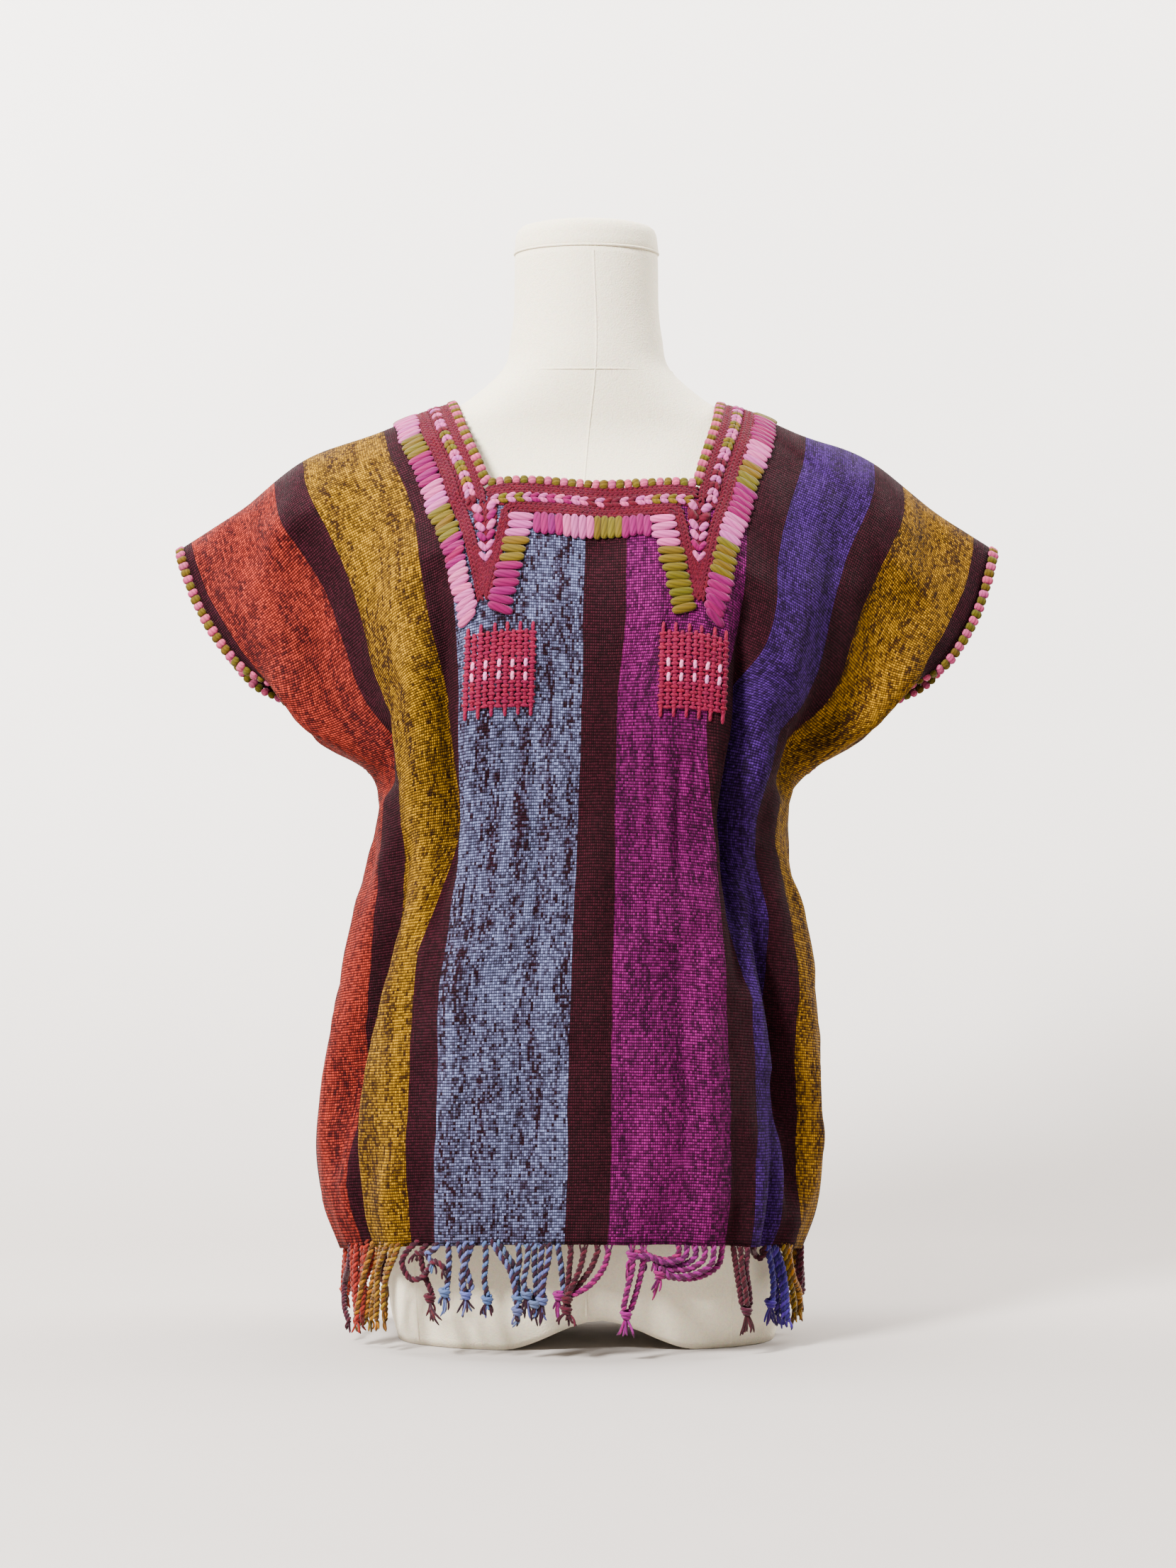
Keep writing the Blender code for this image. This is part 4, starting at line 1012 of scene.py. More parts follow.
def chain_row(path, step, spread_out, leg, lean, tints, lift):
    """A row of chain stitch along a path: each link is two legs that lean away from each other."""
    made = []
    for number, (place, run, out) in enumerate(traced(path, step, lift)):
        beside = np.cross(out, run)
        code = tints[number % len(tints)]
        for side in (-1, 1):
            turn = lean * (1 + 0.12 * chance.normal())
            way = run * cos(turn) + beside * sin(turn) * side
            size = np.array(leg) * (1 + 0.05 * chance.normal(size=3))
            made.append(Stitch(place + beside * side * spread_out, way, out, size, tinted(code)))
    return made


def stitch_tree():
    """Lays one padded stitch at every place given, turned along its run and facing out."""
    tree = bpy.data.node_groups.new("lay_stitches", "GeometryNodeTree")
    tree.interface.new_socket("Places", in_out="INPUT", socket_type="NodeSocketGeometry")
    tree.interface.new_socket("Thread", in_out="INPUT", socket_type="NodeSocketMaterial")
    tree.interface.new_socket("Sides", in_out="INPUT", socket_type="NodeSocketInt").default_value = 6
    tree.interface.new_socket("Rings", in_out="INPUT", socket_type="NodeSocketInt").default_value = 5
    tree.interface.new_socket("Fullness", in_out="INPUT", socket_type="NodeSocketFloat").default_value = 1.0
    tree.interface.new_socket("Stitches", in_out="OUTPUT", socket_type="NodeSocketGeometry")
    given = tree.nodes.new("NodeGroupInput").outputs
    ball = node(tree, "GeometryNodeMeshUVSphere", {
        "Segments": given["Sides"], "Rings": given["Rings"], "Radius": 1.0,
    })
    marked = node(tree, "GeometryNodeStoreNamedAttribute", {"Geometry": ball.outputs["Mesh"], "Name": "thread",
                  "Value": ball.outputs["UV Map"]}, data_type="FLOAT2", domain="CORNER")
    place = node(tree, "ShaderNodeSeparateXYZ", {0: tree.nodes.new("GeometryNodeInputPosition").outputs[0]})
    square = sums(tree, "MULTIPLY", place.outputs["Z"], place.outputs["Z"])
    fuller = sums(tree, "SQRT", sums(tree, "ADD", 1.0, sums(tree, "MULTIPLY", square, given["Fullness"])))
    plump = node(tree, "ShaderNodeCombineXYZ", {
        "X": sums(tree, "MULTIPLY", place.outputs["X"], fuller),
        "Y": sums(tree, "MULTIPLY", place.outputs["Y"], fuller),
        "Z": place.outputs["Z"],
    })
    shaped = node(tree, "GeometryNodeSetPosition", {"Geometry": marked.outputs[0], "Position": plump.outputs[0]})
    read = {key: node(tree, "GeometryNodeInputNamedAttribute", {"Name": key}, data_type="FLOAT_VECTOR").outputs[0]
            for key in ("run", "out", "size")}
    lengthwise = node(tree, "FunctionNodeAlignRotationToVector", {"Vector": read["run"]}, axis="Z")
    facing = node(tree, "FunctionNodeAlignRotationToVector", {
        "Rotation": lengthwise.outputs[0], "Vector": read["out"],
    }, axis="X", pivot_axis="Z")
    laid = node(tree, "GeometryNodeInstanceOnPoints", {"Points": given["Places"], "Instance": shaped.outputs[0],
                "Rotation": facing.outputs[0], "Scale": read["size"]})
    real = node(tree, "GeometryNodeRealizeInstances", {"Geometry": laid.outputs[0]})
    smooth = node(tree, "GeometryNodeSetShadeSmooth", {"Geometry": real.outputs[0]})
    spun = node(tree, "GeometryNodeSetMaterial", {"Geometry": smooth.outputs[0], "Material": given["Thread"]})
    tree.links.new(spun.outputs[0], tree.nodes.new("NodeGroupOutput").inputs[0])
    return tree


def set_inputs(modifier, tree, **values):
    """Sets a tree's named inputs on its modifier, by the sockets' identifiers."""
    modifier.node_group = tree
    for socket in tree.interface.items_tree:
        if socket.item_type == "SOCKET" and socket.in_out == "INPUT" and socket.name in values:
            modifier[socket.identifier] = values[socket.name]


def sew(name, stitches, thread, sides=6, rings=5, fullness=1.0):
    """A mesh piece of all these stitches. A stitch's size is half its height, width and length."""
    mesh = bpy.data.meshes.new(name + "_places")
    mesh.from_pydata([tuple(stitch.place * MM) for stitch in stitches], [], [])
    for key, scale in (("run", 1.0), ("out", 1.0), ("size", MM)):
        rows = np.array([getattr(stitch, key) for stitch in stitches], np.float32) * scale
        mesh.attributes.new(key, "FLOAT_VECTOR", "POINT").data.foreach_set("vector", rows.ravel())
    tints = np.array([stitch.tint for stitch in stitches], np.float32)
    mesh.attributes.new("tint", "FLOAT_COLOR", "POINT").data.foreach_set("color", np.clip(tints, 0, 1).ravel())
    holder = object_of(name + "_places", mesh)
    modifier = holder.modifiers.new("stitches", "NODES")
    set_inputs(modifier, LAY_STITCHES, Thread=thread, Sides=sides, Rings=rings, Fullness=fullness)
    piece = plain_mesh(holder, name)
    for key in ("run", "out", "size"):
        if key in piece.data.attributes:
            piece.data.attributes.remove(piece.data.attributes[key])
    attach(piece, "root")
    return piece


def spun_group():
    """Soft spun yarn: its plies wind round it as it runs, with fine fibres along them."""
    group = bpy.data.node_groups.new("spun_yarn", "ShaderNodeTree")
    for name in ("Around", "Along", "Turns", "Plies"):
        group.interface.new_socket(name, in_out="INPUT", socket_type="NodeSocketFloat")
    for name in ("Height", "Shade"):
        group.interface.new_socket(name, in_out="OUTPUT", socket_type="NodeSocketFloat")
    given = group.nodes.new("NodeGroupInput").outputs
    shown = group.nodes.new("NodeGroupOutput")
    wound = sums(group, "ADD", sums(group, "MULTIPLY", given["Around"], given["Plies"]),
                 sums(group, "MULTIPLY", given["Along"], given["Turns"]))
    ply = sums(group, "ABSOLUTE", sums(group, "SINE", sums(group, "MULTIPLY", wound, pi)))
    fibre_place = node(group, "ShaderNodeCombineXYZ", {
        "X": sums(group, "MULTIPLY", wound, 9.0),
        "Y": sums(group, "MULTIPLY", given["Along"], 3.0),
        "Z": sums(group, "MULTIPLY", given["Around"], 2.0),
    })
    fibre = node(group, "ShaderNodeTexNoise", {"Vector": fibre_place.outputs[0], "Scale": 1.0, "Detail": 3.0})
    height = sums(group, "ADD", sums(group, "POWER", ply, 0.7), sums(group, "MULTIPLY", fibre.outputs[0], 0.35))
    shade = sums(group, "ADD", sums(group, "MULTIPLY", ply, 0.38), sums(group, "MULTIPLY", fibre.outputs[0], 0.5))
    group.links.new(height, shown.inputs["Height"])
    group.links.new(sums(group, "ADD", shade, 0.46), shown.inputs["Shade"])
    return group


def stitch_yarn(name, turns, plies, relief, roughness=0.75, sheen=0.05):
    """A finish for stitches: each one's own tint, shaded by the plies of its yarn."""
    material, tree, shader = finish_of(name, roughness, sheen)
    tint = node(tree, "ShaderNodeAttribute", attribute_name="tint")
    thread = node(tree, "ShaderNodeSeparateXYZ", {0: node(tree, "ShaderNodeUVMap", uv_map="thread").outputs[0]})
    spun = node(tree, "ShaderNodeGroup", node_tree=SPUN)
    tree.links.new(thread.outputs["X"], spun.inputs["Around"])
    tree.links.new(thread.outputs["Y"], spun.inputs["Along"])
    spun.inputs["Turns"].default_value = turns
    spun.inputs["Plies"].default_value = plies
    shade = spun.outputs["Shade"]
    grey = node(tree, "ShaderNodeCombineColor", {0: shade, 1: shade, 2: shade})
    colour = mixed(tree, "MULTIPLY", 1.0, tint.outputs["Color"], grey.outputs[0])
    tree.links.new(colour, shader.inputs["Base Color"])
    bump = node(tree, "ShaderNodeBump", {
        "Height": spun.outputs["Height"], "Strength": 0.6, "Distance": relief * MM,
    })
    tree.links.new(bump.outputs[0], shader.inputs["Normal"])
    return material


SPUN = spun_group()
LAY_STITCHES = stitch_tree()
ROSE_STEP = 3.3
ROSE_LEG = (1.0, 1.2, 2.7)
ROSE_ROWS = (2.0, 6.0, 16.9, 20.7)
LINK_ROW = 11.4
LINK_LEG = (1.4, 1.95, 3.7)
LINK_STEP = 5.4
GROUND_ROWS = (9.4, 13.6)
GROUND_LEG = (0.7, 1.3, 3.6)
GROUND_STEP = 5.0
chain_cotton = stitch_yarn("chain_cotton", 3.0, 2.0, 0.35)
chain = []
SIDES = [(-1, NECK_LEFT), (1, NECK_RIGHT)]
BACK_END = -NECK_DEPTH_BACK - BAND_WIDTH

SIDE_LINKS = {
    -1: [PINK, ROSE, PINK, OLIVE, PINK, ROSE, PINK, ROSE, PINK, ROSE, PINK, ROSE, PINK, MAGENTA, PINK, ROSE, PINK, ROSE,
         PINK, ROSE, PINK, PINK, ROSE, OLIVE, PINK, OLIVE, OLIVE, PINK, PINK, OLIVE, OLIVE, PINK, OLIVE, PINK],
    1: [PINK, OLIVE, PINK, ROSE, PINK, MAGENTA, PINK, ROSE, PINK, OLIVE, PINK, ROSE, PINK, MAGENTA, PINK, MAGENTA, PINK,
        OLIVE, PINK, PINK, OLIVE, OLIVE, PINK, PINK, OLIVE, OLIVE, PINK, PINK, ROSE, PINK, ROSE, PINK, ROSE, PINK],
}
BAR_LINKS = [PINK, OLIVE, PINK, OLIVE, PINK, MAGENTA, PINK, MAGENTA, PINK, MAGENTA, PINK, PINK, ROSE, PINK, ROSE, ROSE,
             PINK, ROSE, PINK, PINK, OLIVE, PINK, OLIVE, PINK, OLIVE, PINK]
POINT_LINKS = [
    (-1, [PINK, MAGENTA, PINK, MAGENTA, PINK, PINK]),
    (1, [PINK, ROSE, PINK, PINK, MAGENTA, PINK]),
]


def rose_row(*path):
    return chain_row(path, ROSE_STEP, 1.02, ROSE_LEG, 0.42, [ROSE], 0.85)


def link_row(codes, *path):
    return chain_row(path, LINK_STEP, 1.65, LINK_LEG, 0.36, codes, 1.15)


def ground_row(*path):
    return chain_row(path, GROUND_STEP, 1.1, GROUND_LEG, 0.3, [ROSE], 0.35)


for side, neck in SIDES:
    for row in ROSE_ROWS[:2]:
        foot = (NECK_DEPTH_FRONT + 13 - row, side * (neck + row - 1.2))
        chain += rose_row((BACK_END, side * (neck + row)), foot)
    for row in ROSE_ROWS[2:]:
        inset = BAND_WIDTH - row
        tip = POINT_TIP - inset * 2.4
        turn = (NECK_DEPTH_FRONT, side * (neck + row))
        foot = (tip, side * (neck + max(0.6, point_half(tip) - inset)))
        chain += rose_row((BACK_END, side * (neck + row)), turn, foot)
    chain += link_row(SIDE_LINKS[side], (BACK_END + 4, side * (neck + LINK_ROW)),
                      (NECK_DEPTH_FRONT + 9, side * (neck + LINK_ROW - 3)))
    for row in GROUND_ROWS:
        foot = (NECK_DEPTH_FRONT + 12, side * (neck + row - 1.2))
        chain += ground_row((BACK_END, side * (neck + row)), foot)

for side, codes in POINT_LINKS:
    neck = NECK_LEFT if side < 0 else NECK_RIGHT
    for number, code in enumerate(codes):
        down = NECK_DEPTH_FRONT + 15 + number * 7.2
        wide = max(0.0, point_half(down + 4) - 8.0) / 2
        for half_side in (-1, 1):
            place, out, way_down, way_across = on_web(down, side * neck + half_side * (wide * 0.8 + 0.8), 1.1)
            run = way_down * cos(0.62) - way_across * sin(0.62) * half_side
            chain.append(Stitch(place, run, out, np.array((1.5, 1.6 + wide * 0.28, 4.5)), tinted(code, 0.06)))
    for offset, start in ((-1.8, 170), (1.8, 170), (-5.2, 160), (5.2, 160)):
        foot = (POINT_TIP - 3 - abs(offset) * 3.0, side * neck + offset * 0.3)
        chain += rose_row((start, side * neck + offset), foot)
    for offset in (-10.4, -6.2, -2.1, 2.1, 6.2, 10.4):
        end = POINT_TIP - (8 + abs(offset)) * 4.0
        chain += ground_row((NECK_DEPTH_FRONT + 11, side * neck + offset), (end, side * neck + offset * 0.8))

for row in ROSE_ROWS[:2]:
    down = NECK_DEPTH_FRONT + row
    chain += rose_row((down, 2.5 - NECK_LEFT), (down, NECK_RIGHT - 2.5))
down = NECK_DEPTH_FRONT + LINK_ROW
chain += link_row(BAR_LINKS, (down, 5 - NECK_LEFT), (down, NECK_RIGHT - 5))
for row in GROUND_ROWS:
    chain += ground_row((NECK_DEPTH_FRONT + row, 3 - NECK_LEFT), (NECK_DEPTH_FRONT + row, NECK_RIGHT - 3))
    chain += ground_row((-NECK_DEPTH_BACK - row, -NECK_LEFT), (-NECK_DEPTH_BACK - row, NECK_RIGHT))
for row in ROSE_ROWS[2:]:
    down = NECK_DEPTH_FRONT + row
    inset = BAND_WIDTH - row
    tip = POINT_TIP - inset * 2.4
    turn = point_half(down) - inset
    end = max(0.6, point_half(tip) - inset)
    chain += rose_row((tip, end - NECK_LEFT), (down + 3, turn - NECK_LEFT), (down, turn + 5 - NECK_LEFT),
                      (down, NECK_RIGHT - turn - 5), (down + 3, NECK_RIGHT - turn), (tip, NECK_RIGHT - end))
for row in ROSE_ROWS:
    down = -NECK_DEPTH_BACK - row
    chain += rose_row((down, -NECK_LEFT), (down, NECK_RIGHT))
down = -NECK_DEPTH_BACK - LINK_ROW
chain += link_row(BAR_LINKS, (down, 3 - NECK_LEFT), (down, NECK_RIGHT - 3))

bands = sew("chain_stitch_bands", chain, chain_cotton)
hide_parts("band_side_left", "band_side_right", "band_bar_front", "band_bar_back",
            "point_left", "point_right")

# Satin border: blocks of long padded stitches in light pink, olive and magenta, laid square to the
# bands' outer edge. Each stitch is several strands of soft cotton, and its free end is rounded.
SATIN_WIDTH = 15.0
SATIN_STEP = 5.35
Block = namedtuple("Block", "start colour")
OUTER_BLOCKS = {
    -1: [Block(BACK_END, OLIVE), Block(-47, MAGENTA), Block(-22, PINK), Block(0, OLIVE), Block(12, PINK), Block(47, OLIVE),
         Block(70, MAGENTA), Block(93, PINK), Block(117, OLIVE), Block(141, MAGENTA), Block(167, PINK)],
    1: [Block(BACK_END, PINK), Block(-47, OLIVE), Block(-22, PINK), Block(2, OLIVE), Block(22, MAGENTA), Block(56, PINK),
        Block(81, OLIVE), Block(103, MAGENTA), Block(127, PINK), Block(150, OLIVE), Block(176, MAGENTA)],
}
INNER_BLOCKS = {
    -1: [Block(0, PINK), Block(153, OLIVE), Block(172, MAGENTA)],
    1: [Block(0, PINK), Block(160, OLIVE)],
}
BAR_BLOCKS = [Block(-999, MAGENTA), Block(-28.5, PINK), Block(-8.0, OLIVE), Block(12.5, MAGENTA)]
BACK_BLOCKS = [Block(-999, PINK), Block(-80, MAGENTA), Block(-56, OLIVE), Block(-32, PINK), Block(-8, MAGENTA),
               Block(16, OLIVE), Block(40, PINK), Block(64, MAGENTA)]


def block_colour(blocks, at):
    return [block.colour for block in blocks if block.start <= at][-1]


def satin_run(spots, outward, blocks, key, fan):
    """Satin stitches at (down, across) spots, laid along outward (across, down). fan turns the last ones."""
    made = []
    for number, (down, across) in enumerate(spots):
        place, out, way_down, way_across = on_web(down, across, 1.2)
        turn = fan * max(0.0, 1 - (len(spots) - 1 - number) / 3.0) + 0.07 * chance.normal()
        aside, drop = outward
        run = way_across * (aside * cos(turn)) + way_down * (drop * cos(turn) + sin(turn))
        run /= np.linalg.norm(run)
        length = SATIN_WIDTH / 2 * (1.16 + 0.04 * chance.normal())
        size = np.array((1.75, 3.15, length)) * (1 + 0.03 * chance.normal(size=3))
        tint = tinted(block_colour(blocks, key(down, across)), 0.07)
        made.append(Stitch(place + run * (0.4 * chance.normal() - 0.8), run, out, size, tint))
    return made


satin_cotton = stitch_yarn("satin_cotton", 2.2, 6.0, 0.45, 0.6, 0.08)
satin = []
middle = TRIM_GAP + SATIN_WIDTH / 2
for side, neck in SIDES:
    count = round((POINT_TIP + 4 - BACK_END) / SATIN_STEP)
    downs = np.linspace(BACK_END + 2.6, POINT_TIP + 4, count)
    spots = [(down, side * (neck + (point_half(down) if down > 0 else BAND_WIDTH) + middle)) for down in downs]
    satin += satin_run(spots, (side, 0.12), OUTER_BLOCKS[side], lambda down, across: down, 0.5)
    downs = np.linspace(NECK_DEPTH_FRONT + BAND_WIDTH + TRIM_GAP + 2.6, POINT_TIP + 2, 12)
    spots = [(down, side * (neck - point_half(down) - middle)) for down in downs]
    satin += satin_run(spots, (-side, 0.05), INNER_BLOCKS[side], lambda down, across: down, 0.35)
bar_down = NECK_DEPTH_FRONT + BAND_WIDTH + middle
bar_inset = point_half(bar_down) + SATIN_WIDTH + 2 * TRIM_GAP
bar_ends = (bar_inset + 2.6 - NECK_LEFT, NECK_RIGHT - bar_inset - 2.6)
spots = [(bar_down, across) for across in np.linspace(*bar_ends, 16)]
satin += satin_run(spots, (0.0, 1.0), BAR_BLOCKS, lambda down, across: across, 0.0)
back_ends = (-NECK_LEFT - BAND_WIDTH + 2.6, NECK_RIGHT + BAND_WIDTH - 2.6)
back_count = round((back_ends[1] - back_ends[0]) / SATIN_STEP)
spots = [(BACK_END - middle, across) for across in np.linspace(*back_ends, back_count)]
satin += satin_run(spots, (0.0, -1.0), BACK_BLOCKS, lambda down, across: across, 0.0)
border = sew("satin_border", satin, satin_cotton, sides=12, rings=9)
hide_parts("satin_side_left", "satin_side_right", "satin_point_left", "satin_point_right",
            "satin_bar_front", "satin_bar_back")

# Darned patches: squares of rose yarn woven over and under through the cloth, drawn in so that the
# cloth gathers below them. Six strands end in ticks past the square, and two short rows of light
# pink bars sit between the strands at its middle.
PATCH_TOP = 216.0
PATCH_BOTTOM = 270.0
PATCH_WIDTH = 48.0
PATCH_LEFT = -69.0
PATCH_RIGHT = 63.0
PATCH_COLUMNS = 11
PATCH_ROWS = 20
DARN_ROSE = "6a0a2c"
darn = []
for middle_across in (PATCH_LEFT, PATCH_RIGHT):
    column_step = PATCH_WIDTH / PATCH_COLUMNS
    row_step = (PATCH_BOTTOM - PATCH_TOP - 4) / PATCH_ROWS
    for row in range(PATCH_ROWS):
        for column in range(PATCH_COLUMNS):
            down = PATCH_TOP + 2 + (row + 0.5) * row_step + 0.25 * chance.normal()
            across = middle_across + (column + 0.5 - PATCH_COLUMNS / 2) * column_step
            over = (row + column) % 2 == 0
            place, out, way_down, way_across = on_web(down, across, 1.25 if over else 0.8)
            if over:
                size = np.array((1.0, 1.32, column_step * 0.64))
                run = way_across + way_down * 0.06 * chance.normal()
            else:
                size = np.array((1.0, 1.9 if column % 2 == 0 else 1.6, row_step * 0.85))
                run = way_down
            darn.append(Stitch(place, run, out, size, tinted(DARN_ROSE, 0.08)))
    for strand in range(6):
        across = middle_across + (strand * 2 + 0.5 - PATCH_COLUMNS / 2) * column_step
        for down in (PATCH_TOP - 0.5, PATCH_BOTTOM + 0.5):
            place, out, way_down, way_across = on_web(down, across, 0.9)
            reach = 3.6 * (1 + 0.12 * chance.normal())
            darn.append(Stitch(place, way_down, out, np.array((1.1, 1.35, reach)), tinted(DARN_ROSE, 0.08)))
    for bar in range(5):
        across = middle_across + (bar * 2 + 1.5 - PATCH_COLUMNS / 2) * column_step
        for down in (239.2, 247.6):
            place, out, way_down, way_across = on_web(down + 0.3 * chance.normal(), across, 1.7)
            run = way_down + way_across * 0.08 * chance.normal()
            darn.append(Stitch(place, run, out, np.array((1.05, 1.45, 3.1)), tinted("c46e9c", 0.05)))
darning_cotton = stitch_yarn("darning_cotton", 3.0, 2.0, 0.3)
patches = sew("darned_patches", darn, darning_cotton)
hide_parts("patch_left", "patch_right")

# Neck and sleeve edging: the cut neck edge and both sleeve openings are overcast tightly with soft
# yarn, light pink and olive in turn, so that each edge reads as a plump two-coloured cord.
CORD_LIFT = 0.6
CORD_BEYOND = 2.9
CORD_CORNER = 4.0
CORD_EASE = 4.4
EDGE_PINK = (2.6, 2.75, 3.7)
EDGE_OLIVE = (2.45, 2.85, 3.5)
EDGE_COLOURS = ("94385a", "4a3e06")
SLEEVE_END = 258.0


def past_edge(down, across, into_down, into_across):
    """A place just past a cut edge. The last two numbers lead from the edge into the cloth."""
    edge, out, _, _ = on_web(down, across, CORD_LIFT)
    inner, _, _, _ = on_web(down + into_down, across + into_across, CORD_LIFT)
    return edge + (edge - inner) / np.linalg.norm(edge - inner) * CORD_BEYOND, out


def overcast(route, closed, ease):
    """Wraps of yarn along a route of places past an edge, in two colours by turns."""
    places = np.array([place for place, _ in route])
    outs = np.array([out for _, out in route])
    if closed:
        places, outs = np.concatenate([places, places[:1]]), np.concatenate([outs, outs[:1]])
    for _ in range(3):
        places[1:-1] = (places[:-2] + 2 * places[1:-1] + places[2:]) / 4
    places = clear_of_form(places, ease)
    along = lengths_along(places)
    pairs = round(along[-1] / 10.6)
    wanted = np.concatenate([[k, k + 0.5] for k in range(pairs)]) * along[-1] / pairs + 2.6
    runs = read_at(np.gradient(places, axis=0), along, wanted)
    runs /= np.linalg.norm(runs, axis=1)[:, None]
    wraps = zip(read_at(places, along, wanted), runs, read_at(outs, along, wanted))
    made = []
    for number, (place, run, out) in enumerate(wraps):
        pink = number % 2 == 0
        size = np.array(EDGE_PINK if pink else EDGE_OLIVE) * (1 + 0.04 * chance.normal(size=3))
        way = np.cross(out, run) + run * 0.08 * chance.normal()
        made.append(Stitch(place, way, out, size, tinted(EDGE_COLOURS[number % 2], 0.08)))
    return made


edging_cotton = stitch_yarn("edging_cotton", 4.0, 1.0, 0.45)
bar_places = np.linspace(CORD_CORNER - NECK_LEFT, NECK_RIGHT - CORD_CORNER, 40)
left_downs = np.linspace(NECK_DEPTH_FRONT - CORD_CORNER, CORD_CORNER - NECK_DEPTH_BACK, 44)
neck_route = [past_edge(NECK_DEPTH_FRONT, across, 4, 0) for across in bar_places[::-1]]
neck_route += [past_edge(down, -NECK_LEFT, 0, -4) for down in left_downs]
neck_route += [past_edge(-NECK_DEPTH_BACK, across, -4, 0) for across in bar_places]
neck_route += [past_edge(down, NECK_RIGHT, 0, 4) for down in left_downs[::-1]]
neck_wraps = overcast(neck_route, True, CORD_EASE)
neck_edging = sew("neck_edging", neck_wraps, edging_cotton, sides=10, rings=8, fullness=1.4)
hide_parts("cord_neck")
sleeve_edging = []
sleeve_downs = np.linspace(SLEEVE_END, -SLEEVE_END, 120)
for side in (-1, 1):
    sleeve_route = [past_edge(down, side * WEB_HALF, 0, -side * 4) for down in sleeve_downs]
    sleeve_edging += overcast(sleeve_route, False, CORD_EASE)
sleeve_edging = sew("sleeve_edging", sleeve_edging, edging_cotton, sides=9, rings=7, fullness=1.4)
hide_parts("cord_sleeve_left", "cord_sleeve_right")

